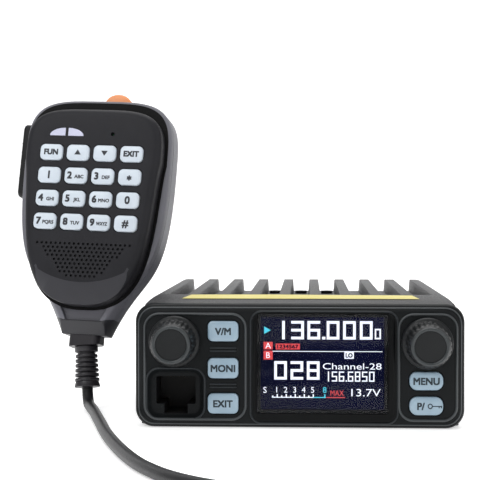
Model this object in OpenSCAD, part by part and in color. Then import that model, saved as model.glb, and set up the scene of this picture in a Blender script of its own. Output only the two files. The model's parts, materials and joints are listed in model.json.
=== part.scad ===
// Mini mobile transceiver with a keypad hand microphone and its curly lead.
// Millimetres. The origin is the centre of the radio's underside: +X is the operator's right,
// +Y points from the front panel to the rear, +Z is up and z = 0 is the table.

/* [Radio] */
// Width of the front panel
panel_w = 98; // [94:1:110]
// Height of the front panel
panel_h = 37; // [37:0.5:40]
// Depth of the radio from the panel's face to the rear wall
body_d = 118; // [112:1:140]
// Depth of the moulded front panel
panel_d = 8; // [8:0.5:10]
// Corner radius of the front panel
panel_corner = 5.5; // [3:0.5:7]
// Width of the cast chassis
chassis_w = 96; // [94:0.5:98]
// Height of the fin tops above the table
chassis_h = 38.8; // [38.8:0.2:42]
// Thickness of the bottom cover
cover_t = 1.5; // [1.5:0.1:1.8]

/* [Cooling fins] */
// Number of fins across the top
fin_count = 10; // [6:1:12]
// Distance from fin to fin
fin_pitch = 9.39; // [6:0.01:9.4]
// Fin thickness at the tip
fin_tip = 3.3; // [2.5:0.1:3.6]
// Fin thickness at the root
fin_root = 4; // [3.6:0.1:4.4]
// Depth of the gaps between fins
fin_depth = 4.4; // [3:0.1:4.6]

/* [Front controls] */
// Radius of each knob's skirt
knob_skirt_r = 7.6; // [7:0.1:7.8]
// How far each knob stands out of the panel
knob_len = 13; // [11:0.5:16]
// Number of flutes around a knob
knob_flutes = 24; // [12:1:30]
// Width of the three buttons beside the display
button_w = 9.1; // [8:0.1:9.4]
// Height of the three buttons beside the display
button_h = 6; // [5:0.1:6.2]
// Width of the two rounded keys at the right
pill_w = 9.9; // [9:0.1:10.4]
// Height of the two rounded keys at the right
pill_h = 5.4; // [4.5:0.1:5.5]
// Travel of a panel button
button_travel = 0.5; // [0.3:0.05:0.5]

/* [Display] */
// Width of the lit area
screen_w = 35.7; // [30:0.1:36]
// Height of the lit area
screen_h = 26.6; // [24:0.1:27]

/* [Microphone] */
// Height of the microphone housing
mic_h = 77.8; // [77.8:0.2:80]
// Half the width of the housing
mic_half_w = 24.9; // [24.9:0.1:26]
// Lean backwards, in degrees
mic_lean = 12; // [10:1:14]
// Tilt towards the radio, in degrees
mic_roll = 2; // [0:1:4]
// Turn about the upright, in degrees
mic_yaw = -8; // [-10:1:-4]
// Width of a keypad key
key_w = 7.6; // [7:0.1:7.9]
// Height of a keypad key
key_h = 5.3; // [4.8:0.1:5.6]
// Travel of a keypad key
key_travel = 0.6; // [0.3:0.05:0.6]

/* [Lead] */
// Diameter of the lead
cord_d = 3.6; // [3.4:0.1:3.8]
// Outer diameter of the curly stretch
curl_d = 11; // [11:0.5:12]

/* [Hidden] */
$fn = 64;
eps = 0.05;

// Radio: planes along Y
front_y = -body_d / 2;
rear_y = body_d / 2;
panel_back_y = front_y + panel_d;
panel_wall = 2.5;
panel_inner_y = front_y + panel_wall;
panel_mid = [0, panel_h / 2];
panel_size = [panel_w, panel_h];
rear_wall = 2;
board_front_y = front_y + 10;
board_t = 1.6;

// Radio: chassis section
side_wall = 2.2;
inner_half_w = chassis_w / 2 - side_wall;
gap_floor_z = chassis_h - fin_depth;
ceiling_z = gap_floor_z - 2.4;
shoulder_w = 5.4;
shoulder_h = 7.3;
slope_foot_z = 36.6;
crest_y = front_y + 19.5;
fin_start_y = front_y + 20;

// Radio: fixings, as [x, y] seen from above
cover_screws = [[-41, -34], [41, -34], [-41, 40], [41, 40]];
sink_screws = [[-fin_pitch, 42], [0, 42], [fin_pitch, 42]];
screw_hole_r = 1.25;
screw_r = 1.2;
screw_boss_r = 3.4;
screw_boss_top = 12;
bracket_ys = [-20, 20];
bracket_z = 18;
bracket_hole_r = 1.65;
bracket_boss_r = 4;
bracket_boss_len = 4;

// Radio: front controls, as [x, z] on the panel
volume_at = [-37, 25.9];
channel_at = [37.7, 25.6];
band_at = [-22.6, 28.9];
monitor_at = [-22.6, 17.9];
exit_at = [-22.6, 7.4];
menu_at = [37.5, 14.4];
lock_at = [37.5, 7];
button_corner = 1.5;
pill_corner = 2.3;
button_gap = 0.15;
button_proud = 1;
flange_margin = 0.8;
bushing_r = 3.5;
shaft_r = 3;
shaft_gap = 0.06;
control_body = 12;
switch_w = 6;
plunger_y = board_front_y - 4.3;

// Radio: display
screen_at = [6.85, 19.3];
bezel_at = [7.35, 18.2];
bezel_size = [41.9, 32];
bezel_corner = 2.5;
bezel_proud = 0.7;
window_size = [screen_w + 3, screen_h + 2.8];
screen_opening = [screen_w + 0.8, screen_h + 0.8];

// Radio: microphone socket in the panel
jack_at = [-36.8, 10.2];
jack_recess = [16, 14];
jack_recess_corner = 3.2;
jack_recess_d = 1.2;
jack_slot_w = 11.8;
jack_slot_z = [6.95, 15.2];
latch_slot_w = 7;
latch_slot_z = 4.1;
jack_body = [15.6, 14.2];
jack_depth = 15.5;
jack_wires = 8;
contact_pitch = 1.02;

// Radio: rear panel, as [x, z]
antenna_at = [-28, 18];
antenna_thread_r = 7.94;
antenna_thread_len = 11.5;
antenna_flange = 25.4;
antenna_flange_t = 1.6;
fan_at = [8, 18];
fan_size = 25;
fan_bore_r = 11.6;
fan_depth = 8;
fan_blades = 7;
inlet_at = [36, 8];
inlet_body = [13, 9];
inlet_cavity = [10, 6];
phone_at = [36, 24];
phone_bore_r = 1.8;
phone_bore_len = 14;

// Radio: inside
speaker_at = [0, 14];
speaker_r = 17.5;
main_board_z = 22;
board_posts = [[-34, -30], [34, -30], [-34, 36], [34, 36]];

// Microphone: its own frame has x to the right, y to the back and z up,
// and its origin is the middle of the lower edge of the housing, where y is 9 behind the face
mic_at = [-70.4, -21.1, 24.6];
mic_mid_z = 56;
mic_round = 4;
neck_half_w = 7.3;
face_y = -9;
parting_y = -2.5;
back_y = 17;
// Depths at which the back cover steps inwards, and how far, for its rounded back
back_steps = [[8, 1.2], [12, 2.6], [15.4, 4.2]];
shelf_y = -1;
face_wall = 1.8;
face_inner_y = face_y + face_wall;
shell_wall = 2;
cavity_foot = 5;
face_half_w = 22.9;
face_top = 73.4;
face_foot = 8.5;
face_bevel = [2, 0.8];
key_cols = 4;
key_pitch_x = 9.02;
key_pitch_z = 7.67;
key_top_z = 58.2;
key_corner = 1.6;
key_gap = 0.15;
key_proud = 0.8;
key_flange = 0.5;
key_flange_t = 0.8;
mat_y = face_inner_y + eps + key_flange_t + key_travel + 0.25;
mic_board_y = mat_y + 1;
keypad_mid_z = key_top_z - 1.5 * key_pitch_z;
keypad_back = [35.4, 29.8];
ptt_z = [45, 70];
ptt_y = [0.5, 7];
ptt_x = -27.7;
ptt_inner_x = -20.8;
top_button_x = 4.2;
top_button_w = 9.4;
top_button_y = [1.8, 7];
top_button_z = 81.4;
mic_hole_at = [6.5, 64.8];
indicator_z = 63.9;
indicator_x = [-9.5, -8.5];
indicator_size = [5.2, 2.6];
mic_posts = [[-16, 66.5], [16, 66.5], [-7.5, 13], [7.5, 13]];
post_r = 2.6;
mic_screw_r = 1;
mic_speaker_at = [0, 22.4];
mic_speaker_r = 8.8;
hanger_z = 46;
gland_size = [10.4, 8.5];
gland_y = 5;
gland_len = 3.4;
relief_len = 13.5;
relief_turn = 7;

// Lead: points of its centre line, from the strain relief to the curly stretch
cord_r = cord_d / 2;
lead_route = [
    [-69.2, -19.85, 7.07], [-69, -20.6, 5.2], [-68.6, -22.2, 3.4], [-68, -24.2, 2.2],
    [-67.3, -26.4, 1.8], [-66.2, -30.5, 1.8], [-64.8, -36, 1.8], [-62.8, -44.5, 1.8],
    [-60.7, -54, 1.8], [-58.3, -64.6, 1.8], [-55.9, -75.5, 1.8], [-53.4, -86, 1.8],
    [-50.6, -96.5, 1.8], [-47.6, -107, 1.8], [-44.3, -117.5, 1.8], [-40.6, -128, 1.8],
    [-36.2, -138, 1.8], [-30.6, -148, 1.8], [-23.5, -156.5, 1.8], [-15, -163.2, 1.8],
    [-6, -168.2, 1.8], [4, -171.8, 1.8], [14, -174.3, 1.8], [24, -176, 1.8], [35, -177.2, 1.8],
    [46, -178, 1.8], [52.5, -179.3, 1.8], [58, -183, 1.8], [61.7, -188.5, 1.8], [63, -195, 1.8],
    [61.7, -201.5, 1.8], [58, -207, 1.8], [52.5, -210.7, 1.8], [45, -212, 1.8]
];
tail_route = [
    [-105, -212, 1.8], [-110.6, -212.9, 1.8], [-114.5, -215.5, 1.8], [-117.1, -219.4, 1.8],
    [-118, -224, 1.8], [-117.1, -228.6, 1.8], [-114.5, -232.5, 1.8], [-110.6, -235.1, 1.8],
    [-106, -236, 1.8], [-98, -236, 1.8], [-92, -236, 2.4], [-88, -236, 3.4], [-85, -236, 4]
];
curl_x = [-105, 45];
curl_y = -212;
plug_x = [-85, -64];
plug_y = -236;
plug_size = [11.7, 8];

RADIO_NODES = [
    "chassis", "bottom_cover", "front_panel", "display_window", "display_module", "mic_jack",
    "jack_contacts", "control_board", "main_board", "volume_control", "channel_encoder", "speaker",
    "fan_frame", "antenna_socket", "power_inlet", "speaker_jack", "case_screws"
];
MOVING_NODES = [
    "volume_knob", "volume_shaft", "channel_knob", "channel_shaft", "button_band",
    "button_monitor", "button_exit", "button_menu", "button_lock", "fan_rotor"
];
MIC_NODES = [
    "mic_front_cover", "mic_back_cover", "mic_keypad_mat", "mic_board", "mic_speaker",
    "mic_indicators", "mic_cord_gland", "mic_strain_relief", "mic_hanger_stud", "mic_screws",
    "ptt_button", "mic_top_button"
];
KEY_NODES = [
    "key_fun", "key_up", "key_down", "key_exit", "key_1", "key_2", "key_3", "key_star",
    "key_4", "key_5", "key_6", "key_0", "key_7", "key_8", "key_9", "key_hash"
];
CORD_NODES = ["mic_cord_lead", "mic_cord_curl", "mic_cord_tail", "mic_plug"];

// ---- Outlines ----

// Points of an arc, from angle a0 to angle a1
function arc(x, y, r, a0, a1, steps = 8) = [
    for (i = [0:steps]) let (a = a0 + (a1 - a0) * i / steps) [x + r * cos(a), y + r * sin(a)]
];

// A centred rectangle with round corners
function round_rect(w, h, r) = concat(
    arc(w / 2 - r, h / 2 - r, r, 0, 90),
    arc(r - w / 2, h / 2 - r, r, 90, 180),
    arc(r - w / 2, r - h / 2, r, 180, 270),
    arc(w / 2 - r, r - h / 2, r, 270, 360)
);

// A circle with shallow flutes
function fluted_circle(r, depth, flutes, steps = 8) = [
    for (i = [0:flutes * steps - 1]) let (a = 360 * i / (flutes * steps))
        (r - depth * (0.5 - 0.5 * cos(flutes * a))) * [cos(a), sin(a)]
];

// One point of a cubic curve
function cubic(p, t) = pow(1 - t, 3) * p[0] + 3 * pow(1 - t, 2) * t * p[1]
    + 3 * (1 - t) * t * t * p[2] + pow(t, 3) * p[3];

// The microphone's outlines, seen from the front: a squared-off round top and two curved flanks.
// w is half the width, top the height of the top, and curve the four control points of a flank.
function crown(w, top, steps = 24) = [
    for (i = [0:2 * steps]) let (a = 90 * i / steps, c = cos(a), s = sin(a)) [
        w * sign(c) * pow(abs(c), 2 / mic_round),
        mic_mid_z + (top - mic_mid_z) * pow(abs(s), 2 / mic_round)
    ]
];
function front_view(w, top, curve, steps = 16) = let (
    flank = [for (i = [1:steps]) cubic(curve, i / steps)],
    last = curve[3][0] == 0 ? steps - 2 : steps - 1
) concat(
    crown(w, top),
    [for (p = flank) [-p[0], p[1]]],
    [for (i = [last:-1:0]) flank[i]]
);

// The housing, moved inwards by inset, with its lower end at foot
function mic_outline(inset = 0, foot = 0) = let (w = mic_half_w - inset)
    front_view(w, mic_h - inset, [
        [w, mic_mid_z], [w, 15], [17.4 - inset, 24], [neck_half_w - inset / 2, foot]
    ]);

// The raised face plate, moved inwards by inset
function face_outline(inset = 0) = let (w = face_half_w - inset)
    front_view(w, face_top - inset, [
        [w, mic_mid_z], [19.8 - inset, 37.6], [23.6 - 1.3 * inset, 7.4 + inset], [0, face_foot + inset]
    ]);

// A quarter ellipse in the corner of the origin
function quarter_ellipse(w, h, steps = 10) = concat(
    [[0, 0]], [for (i = [0:steps]) [w * cos(90 * i / steps), h * sin(90 * i / steps)]]
);

// ---- Shared solids ----

// Children drawn in the front view, extruded from depth y0 to depth y1
module along_y(y0, y1) {
    translate([0, y1, 0]) rotate([90, 0, 0]) linear_extrude(y1 - y0) children();
}

// A plate with round corners that faces the front
module plate(at, size, corner, y0, y1) {
    along_y(y0, y1) translate(at) polygon(round_rect(size[0], size[1], corner));
}

// A round bar along Y
module rod(at, r, y0, y1) {
    translate([at[0], y1, at[1]]) rotate([90, 0, 0]) cylinder(r = r, h = y1 - y0);
}

// Puts children drawn in the microphone's frame in their place beside the radio
module in_mic_place() {
    translate(mic_at) rotate([-mic_lean, mic_roll, mic_yaw]) children();
}

// ---- Chassis and covers ----

module chassis_section() {
    foot_z = cover_t;
    half = chassis_w / 2;
    shoulder = [
        for (i = [0:10]) let (a = 9 * i)
            [half - shoulder_w + shoulder_w * cos(a), chassis_h - shoulder_h + shoulder_h * sin(a)]
    ];
    polygon(concat(
        [[half, foot_z]],
        shoulder,
        [for (i = [10:-1:0]) [-shoulder[i][0], shoulder[i][1]]],
        [[-half, foot_z]]
    ));
}

// The side view: a slope behind the panel, then the level line of the fin tops
module chassis_side_view() {
    rotate([90, 0, 90]) linear_extrude(chassis_w + 2, center = true)
        polygon(concat(
            [[panel_back_y, cover_t], [rear_y, cover_t]],
            arc(rear_y - 1.5, chassis_h - 1.5, 1.5, 0, 90),
            [[crest_y + 1, chassis_h], [crest_y, chassis_h - 0.2], [panel_back_y, slope_foot_z]]
        ));
}

module fin_gap() {
    root = (fin_pitch - fin_root) / 2;
    tip = (fin_pitch - fin_tip) / 2;
    along_y(fin_start_y, rear_y + 1)
        polygon([
            [-root, gap_floor_z], [root, gap_floor_z], [tip, chassis_h], [tip, chassis_h + 1],
            [-tip, chassis_h + 1], [-tip, chassis_h]
        ]);
}

module chassis_bosses() {
    for (p = cover_screws) {
        translate([p[0], p[1], cover_t]) cylinder(r = screw_boss_r, h = screw_boss_top - cover_t);
        translate([sign(p[0]) * (inner_half_w - 1.5), p[1], (cover_t + screw_boss_top) / 2])
            cube([6, 3, screw_boss_top - cover_t], center = true);
    }
    for (side = [-1, 1], y = bracket_ys)
        translate([side * (inner_half_w - bracket_boss_len / 2 + 0.5), y, bracket_z])
            rotate([0, 90, 0]) cylinder(r = bracket_boss_r, h = bracket_boss_len + 1, center = true);
    for (p = board_posts)
        translate([p[0], p[1], main_board_z + board_t])
            cylinder(r = 3, h = ceiling_z + 0.5 - main_board_z - board_t);
}

module chassis() {
    color("#5c5c5e") difference() {
        union() {
            difference() {
                intersection() {
                    along_y(panel_back_y, rear_y) chassis_section();
                    chassis_side_view();
                }
                translate([-inner_half_w, panel_back_y - 1, 0])
                    cube([2 * inner_half_w, body_d - panel_d - rear_wall + 1, ceiling_z]);
                for (i = [0:fin_count - 2])
                    translate([(i - (fin_count - 2) / 2) * fin_pitch, 0, 0]) fin_gap();
            }
            chassis_bosses();
        }
        for (p = cover_screws)
            translate([p[0], p[1], 0]) cylinder(r = screw_hole_r, h = 9.5);
        for (p = sink_screws)
            translate([p[0], p[1], ceiling_z - 1]) cylinder(r = screw_hole_r, h = 5);
        for (side = [-1, 1], y = bracket_ys)
            translate([side * chassis_w / 2, y, bracket_z]) rotate([0, 90, 0])
                cylinder(r = bracket_hole_r, h = 30, center = true);
        rod(antenna_at, 6.2, rear_y - 5, rear_y + 1);
        rod(fan_at, fan_bore_r, rear_y - 5, rear_y + 1);
        rod(phone_at, 3.1, rear_y - 5, rear_y + 1);
        plate(inlet_at, inlet_body + [0.2, 0.2], 0.6, rear_y - 5, rear_y + 1);
    }
}

module bottom_cover() {
    slots = 7;
    slot_pitch = 4.4;
    color("#3b3b3d") difference() {
        translate([0, (panel_back_y + rear_y) / 2, 0])
            linear_extrude(cover_t) polygon(round_rect(chassis_w, body_d - panel_d, 1.5));
        for (i = [0:slots - 1])
            translate([speaker_at[0] + (i - (slots - 1) / 2) * slot_pitch, speaker_at[1], -1])
                linear_extrude(cover_t + 2) polygon(round_rect(2, 20, 0.9));
        for (p = cover_screws) translate([p[0], p[1], -eps]) {
            cylinder(r = screw_hole_r, h = cover_t + 1);
            cylinder(r1 = 2.5, r2 = screw_hole_r, h = 1.25 + eps);
        }
    }
}

module case_screws() {
    color("#2a2a2c") {
        for (p = cover_screws) translate([p[0], p[1], 0]) difference() {
            union() {
                cylinder(r = screw_r, h = 9);
                cylinder(r1 = 2.4, r2 = screw_r, h = 1.2);
            }
            translate([0, 0, -eps]) cylinder(r = 1, h = 0.7, $fn = 6);
        }
        for (p = sink_screws) translate([p[0], p[1], ceiling_z - 3]) difference() {
            union() {
                cylinder(r = screw_r, h = fin_depth + 1);
                translate([0, 0, gap_floor_z - ceiling_z + 3]) cylinder(r = 2.1, h = 1);
            }
            translate([0, 0, gap_floor_z - ceiling_z + 3.5]) cylinder(r = 1, h = 1, $fn = 6);
        }
    }
}

// ---- Front panel ----

// A thin raised line with round corners
module ridge(at, size, corner, proud, line_w = 0.7) {
    difference() {
        plate(at, size, corner, front_y - proud, front_y + 0.5);
        plate(at, size - 2 * [line_w, line_w], corner - line_w, front_y - proud - 1, front_y);
    }
}

module panel_shell() {
    plate(panel_mid, panel_size, panel_corner, front_y + 1.5, panel_back_y);
    plate(panel_mid, panel_size - [1.2, 1.2], panel_corner - 0.6, front_y + 0.7, front_y + 1.5);
    plate(panel_mid, panel_size - [2.6, 2.6], panel_corner - 1.3, front_y, front_y + 0.7);
}

module panel_relief() {
    ridge([-30.95, 18.3], [30.1, 31.4], 4.2, 0.45);
    ridge([38, 18.3], [17, 31.4], 4.2, 0.45);
    plate(bezel_at, bezel_size, bezel_corner, front_y - bezel_proud, front_y + 0.5);
    for (z = [23.9, 23, 13.1, 12.2])
        plate([band_at[0], z], [8, 0.5], 0.2, front_y - 0.4, front_y + 0.5);
}

module button_window(at, size, corner) {
    plate(at, size + 2 * [button_gap, button_gap], corner + button_gap, front_y - 2, panel_inner_y + 1);
}

module front_panel() {
    color("#1c2023") {
        difference() {
            union() {
                panel_shell();
                panel_relief();
            }
            plate(panel_mid, panel_size - [4, 4], panel_corner - 2, panel_inner_y, panel_back_y + 1);
            plate(jack_at, jack_recess, jack_recess_corner, front_y - 1, front_y + jack_recess_d);
            jack_opening(front_y - 1, panel_inner_y + 1);
            plate(screen_at, window_size + [0.2, 0.2], 1, front_y - 2, front_y + 0.4);
            plate(screen_at, screen_opening, 0.5, front_y - 2, panel_inner_y + 1);
            for (at = [band_at, monitor_at, exit_at]) button_window(at, [button_w, button_h], button_corner);
            for (at = [menu_at, lock_at]) button_window(at, [pill_w, pill_h], pill_corner);
            for (at = [volume_at, channel_at]) rod(at, bushing_r + 0.1, front_y - 1, panel_inner_y + 1);
        }
        for (x = [-15.6, 29.8], z = [6, 30]) rod([x, z], 1.3, panel_inner_y - 0.5, board_front_y);
    }
}

module display_window() {
    color("#8fa4b6", 0.4) plate(screen_at, window_size, 0.9, front_y - 0.3, front_y + 0.4);
}

module display_module() {
    color("#232640") {
        plate(screen_at, [screen_w + 0.5, screen_h + 0.5], 0.4, front_y + 0.6, panel_inner_y);
        plate([6.85, 18.6], [40.6, 30], 1, panel_inner_y, front_y + 7);
        plate([6.85, 18.6], [30, 20], 1, front_y + 7, board_front_y);
    }
}

// ---- Microphone socket ----

// The socket's mouth: a wide slot for the plug and a narrow one below it for the latch
module jack_opening(y0, y1) {
    along_y(y0, y1) {
        translate([jack_at[0] - jack_slot_w / 2, jack_slot_z[0]])
            square([jack_slot_w, jack_slot_z[1] - jack_slot_z[0]]);
        translate([jack_at[0] - latch_slot_w / 2, latch_slot_z])
            square([latch_slot_w, jack_slot_z[0] - latch_slot_z + 1]);
    }
}

module mic_jack() {
    color("#161819") difference() {
        plate([jack_at[0], 9.5], jack_body, 0.8, panel_inner_y, panel_inner_y + jack_depth);
        jack_opening(panel_inner_y - 1, panel_inner_y + jack_depth - 2);
    }
}

// Spring wires that slope down from the roof of the socket
module jack_contacts() {
    wire = [0.45, 9, 0.3];
    first_x = jack_at[0] - (jack_wires - 1) / 2 * contact_pitch - wire[0] / 2;
    color("#c9a24a") for (i = [0:jack_wires - 1])
        translate([first_x + i * contact_pitch, panel_inner_y + 2.5, jack_slot_z[1] - 0.2])
            rotate([-9, 0, 0]) cube(wire);
}

// ---- Boards and controls ----

module control_board() {
    color("#1f5a3a") {
        difference() {
            plate([0, 17.2], [88, 28.4], 1, board_front_y, board_front_y + board_t);
            translate([-50, board_front_y - 1, 0]) cube([50 - 28.6, 4, 17.7]);
        }
        for (at = [band_at, monitor_at, exit_at, menu_at, lock_at]) {
            plate(at, [switch_w, switch_w], 0.3, board_front_y - 3.5, board_front_y);
            rod(at, 1.7, plunger_y, board_front_y - 3);
        }
    }
}

module main_board() {
    color("#1f5a3a") {
        translate([0, 3, main_board_z]) linear_extrude(board_t) polygon(round_rect(80, 82, 2));
        translate([-24, -8, main_board_z + board_t]) cube([34, 26, 4]);
        translate([16, 10, main_board_z + board_t]) cube([14, 18, 5]);
        for (x = [-10, 0, 10]) translate([x - 4, 30, main_board_z - 6]) cube([8, 8, 6]);
    }
}

// A rotary control behind the panel, with a bored bushing that the shaft turns in
module rotary_control(at) {
    difference() {
        union() {
            plate(at, [control_body, control_body], 1, front_y + 3.4, board_front_y);
            rod(at, bushing_r, front_y - 1.2, front_y + 4);
        }
        rod(at, shaft_r + shaft_gap, front_y - 2, front_y + 6.5);
    }
}

module volume_control() {
    color("#8a8a86") rotary_control(volume_at);
}

module channel_encoder() {
    color("#8a8a86") rotary_control(channel_at);
}

module control_shaft(at) {
    rod(at, shaft_r, front_y - knob_len + 2.5, front_y + 6);
}

module volume_shaft() {
    color("#b9b9b4") control_shaft(volume_at);
}

module channel_shaft() {
    color("#b9b9b4") control_shaft(channel_at);
}

// A knob with a broad skirt, a fluted side and a dished face
module control_knob(at) {
    face = front_y - knob_len;
    skirt = front_y - 0.6;
    difference() {
        union() {
            rod(at, knob_skirt_r, skirt - 1.7, skirt);
            along_y(face + 1, skirt - 1) translate(at) polygon(fluted_circle(6.4, 0.35, knob_flutes));
            translate([at[0], face + 1, at[1]]) rotate([90, 0, 0]) cylinder(r1 = 6.1, r2 = 5.5, h = 1);
        }
        translate([at[0], face - eps, at[1]]) rotate([-90, 0, 0]) cylinder(r1 = 4.6, r2 = 4.1, h = 0.6 + eps);
        rod(at, 5.2, skirt - 3.4, skirt + 1);
        rod(at, shaft_r, face + 2.5, skirt);
    }
}

module volume_knob() {
    color("#242729") control_knob(volume_at);
}

module channel_knob() {
    color("#242729") control_knob(channel_at);
}

// A button: its cap stands out of the panel, and a flange behind the wall holds it in
module panel_button(at, size, corner) {
    flange_y = panel_inner_y + eps;
    margin = 2 * [flange_margin, flange_margin];
    plate(at, size, corner, front_y - button_proud, flange_y + 0.4);
    plate(at, size + margin, corner + flange_margin, flange_y, flange_y + 0.8);
    rod(at, 1.5, flange_y + 0.5, plunger_y - button_travel - 0.1);
}

module button_band() {
    color("#90a6b6") panel_button(band_at, [button_w, button_h], button_corner);
}

module button_monitor() {
    color("#90a6b6") panel_button(monitor_at, [button_w, button_h], button_corner);
}

module button_exit() {
    color("#90a6b6") panel_button(exit_at, [button_w, button_h], button_corner);
}

module button_menu() {
    color("#90a6b6") panel_button(menu_at, [pill_w, pill_h], pill_corner);
}

module button_lock() {
    color("#90a6b6") panel_button(lock_at, [pill_w, pill_h], pill_corner);
}

// ---- Rear fittings and speaker ----

module speaker() {
    color("#2d2d30") translate([speaker_at[0], speaker_at[1], cover_t]) {
        difference() {
            cylinder(r = speaker_r, h = 2.5);
            translate([0, 0, -eps]) cylinder(r1 = 15.5, r2 = 13, h = 1.5);
        }
        translate([0, 0, 2]) cylinder(r1 = 15, r2 = 9, h = 4);
        translate([0, 0, 6]) cylinder(r = 9, h = 5);
    }
}

module fan_frame() {
    inner = rear_y - rear_wall - fan_depth;
    color("#1b1b1d") {
        difference() {
            plate(fan_at, [fan_size, fan_size], 2, inner, inner + fan_depth);
            rod(fan_at, fan_bore_r, inner - 1, inner + fan_depth + 1);
        }
        rod(fan_at, 6, inner, inner + 1.2);
        for (a = [45, 135]) translate([fan_at[0], inner + 0.6, fan_at[1]]) rotate([0, a, 0])
            cube([2 * fan_bore_r + 1, 1.2, 1.6], center = true);
        rod(fan_at, 1, inner + 1, inner + 6);
    }
}

module fan_rotor() {
    inner = rear_y - rear_wall - fan_depth;
    blade_mid = inner + 4.6;
    color("#262629") difference() {
        union() {
            rod(fan_at, 5.6, inner + 1.6, inner + 7.6);
            for (i = [0:fan_blades - 1])
                translate([fan_at[0], blade_mid, fan_at[1]]) rotate([0, 360 * i / fan_blades, 0])
                    translate([8, 0, 0]) rotate([38, 0, 0]) cube([6, 0.8, 6.4], center = true);
        }
        rod(fan_at, 1.06, inner + 1, inner + 6.4);
    }
}

module antenna_socket() {
    flange_y = rear_y + antenna_flange_t;
    mouth_y = flange_y + antenna_thread_len;
    color("#c4c6c8") {
        difference() {
            union() {
                plate(antenna_at, [antenna_flange, antenna_flange], 1.5, rear_y, flange_y);
                rod(antenna_at, antenna_thread_r, flange_y, mouth_y);
                rod(antenna_at, 6, rear_y - 6, rear_y + 0.5);
            }
            rod(antenna_at, 6.2, flange_y + 1, mouth_y + 1);
        }
        difference() {
            rod(antenna_at, 2.7, flange_y + 0.5, mouth_y - 0.7);
            rod(antenna_at, 1.95, flange_y + 2, mouth_y);
        }
    }
}

module power_inlet() {
    mouth_y = rear_y + 0.8;
    cavity_y = rear_y - 7;
    blade = [6, 5.5, 0.6];
    color("#19191b") difference() {
        union() {
            plate(inlet_at, inlet_body, 0.5, rear_y - 10, mouth_y);
            plate(inlet_at, inlet_body + [2, 2], 1.2, rear_y, mouth_y);
        }
        plate(inlet_at, inlet_cavity, 0.4, cavity_y, mouth_y + 1);
    }
    color("#b8963e") for (side = [-1, 1])
        translate([inlet_at[0], cavity_y + blade[1] / 2, inlet_at[1] + side * (inlet_cavity[1] - blade[2]) / 2])
            cube(blade, center = true);
}

module speaker_jack() {
    mouth_y = rear_y + 1.5;
    color("#2b2b2d") difference() {
        union() {
            plate(phone_at, [9, 9], 0.6, mouth_y - phone_bore_len - 1, rear_y - rear_wall);
            rod(phone_at, 3, rear_y - rear_wall - 0.5, mouth_y);
            translate([phone_at[0], mouth_y, phone_at[1]]) rotate([90, 0, 0])
                cylinder(r = 4.3, h = 1.5, $fn = 6);
        }
        rod(phone_at, phone_bore_r, mouth_y - phone_bore_len, mouth_y + 1);
    }
}

// ---- Microphone housing ----

function key_at(i) = [
    (i % key_cols - (key_cols - 1) / 2) * key_pitch_x,
    key_top_z - floor(i / key_cols) * key_pitch_z
];

// A key's outline, grown by gap
module key_plate(i, gap, y0, y1) {
    plate(key_at(i), [key_w, key_h] + 2 * [gap, gap], key_corner + gap, y0, y1);
}

module indicator_pair(gap) {
    size = indicator_size + 2 * [gap, gap];
    translate([indicator_x[1] - gap, indicator_z - gap])
        polygon(quarter_ellipse(size[0], size[1]));
    translate([indicator_x[0] + gap, indicator_z - gap])
        mirror([1, 0]) polygon(quarter_ellipse(size[0], size[1]));
}

module speaker_slots() {
    slot_h = 1;
    for (z = [18:2.4:28])
        plate([0, z], [12 + (z - 18) * 1.8, slot_h], 0.45, face_y - 1, face_inner_y + 1);
}

module mic_front_cover() {
    bevel_y = face_y + face_bevel[1];
    color("#36363a") in_mic_place() difference() {
        union() {
            difference() {
                union() {
                    along_y(bevel_y, parting_y) polygon(face_outline());
                    along_y(face_y, bevel_y) polygon(face_outline(face_bevel[0]));
                }
                along_y(face_inner_y, parting_y + 1) polygon(face_outline(face_wall));
            }
            for (p = mic_posts) rod(p, post_r - 0.2, face_inner_y - 0.5, parting_y);
        }
        for (i = [0:len(KEY_NODES) - 1])
            key_plate(i, key_gap, face_y - 1, face_inner_y + 1);
        along_y(face_y - 1, face_inner_y + 1) indicator_pair(0.1);
        rod(mic_hole_at, 0.6, face_y - 1, face_inner_y + 1);
        for (p = mic_posts) rod(p, mic_screw_r + 0.05, face_inner_y + 0.8, parting_y + 1);
        speaker_slots();
    }
}

// The slanted front of the neck, as the part to cut away
module neck_slant() {
    slant = [3, 4.3];
    rotate([90, 0, 90]) linear_extrude(3 * neck_half_w, center = true)
        polygon([
            [parting_y - 1, -1], [parting_y + slant[0], -1], [parting_y + slant[0], 0],
            [parting_y, slant[1]], [parting_y - 1, slant[1]]
        ]);
}

module mic_back_solid() {
    along_y(parting_y, back_steps[0][0]) polygon(mic_outline());
    for (i = [0:len(back_steps) - 1]) {
        step = back_steps[i];
        end = i == len(back_steps) - 1 ? back_y : back_steps[i + 1][0];
        along_y(step[0], end) polygon(mic_outline(step[1], step[1] / 2));
    }
}

module mic_back_cavity() {
    floor_y = back_y - shell_wall;
    along_y(parting_y - 1, shelf_y + 0.1) polygon(face_outline(face_wall));
    along_y(shelf_y, back_steps[0][0]) polygon(mic_outline(shell_wall, cavity_foot));
    along_y(back_steps[0][0] - 0.1, back_steps[1][0])
        polygon(mic_outline(shell_wall + back_steps[0][1], cavity_foot + 0.4));
    along_y(back_steps[1][0] - 0.1, floor_y)
        polygon(mic_outline(shell_wall + back_steps[1][1], cavity_foot + 1));
}

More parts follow.
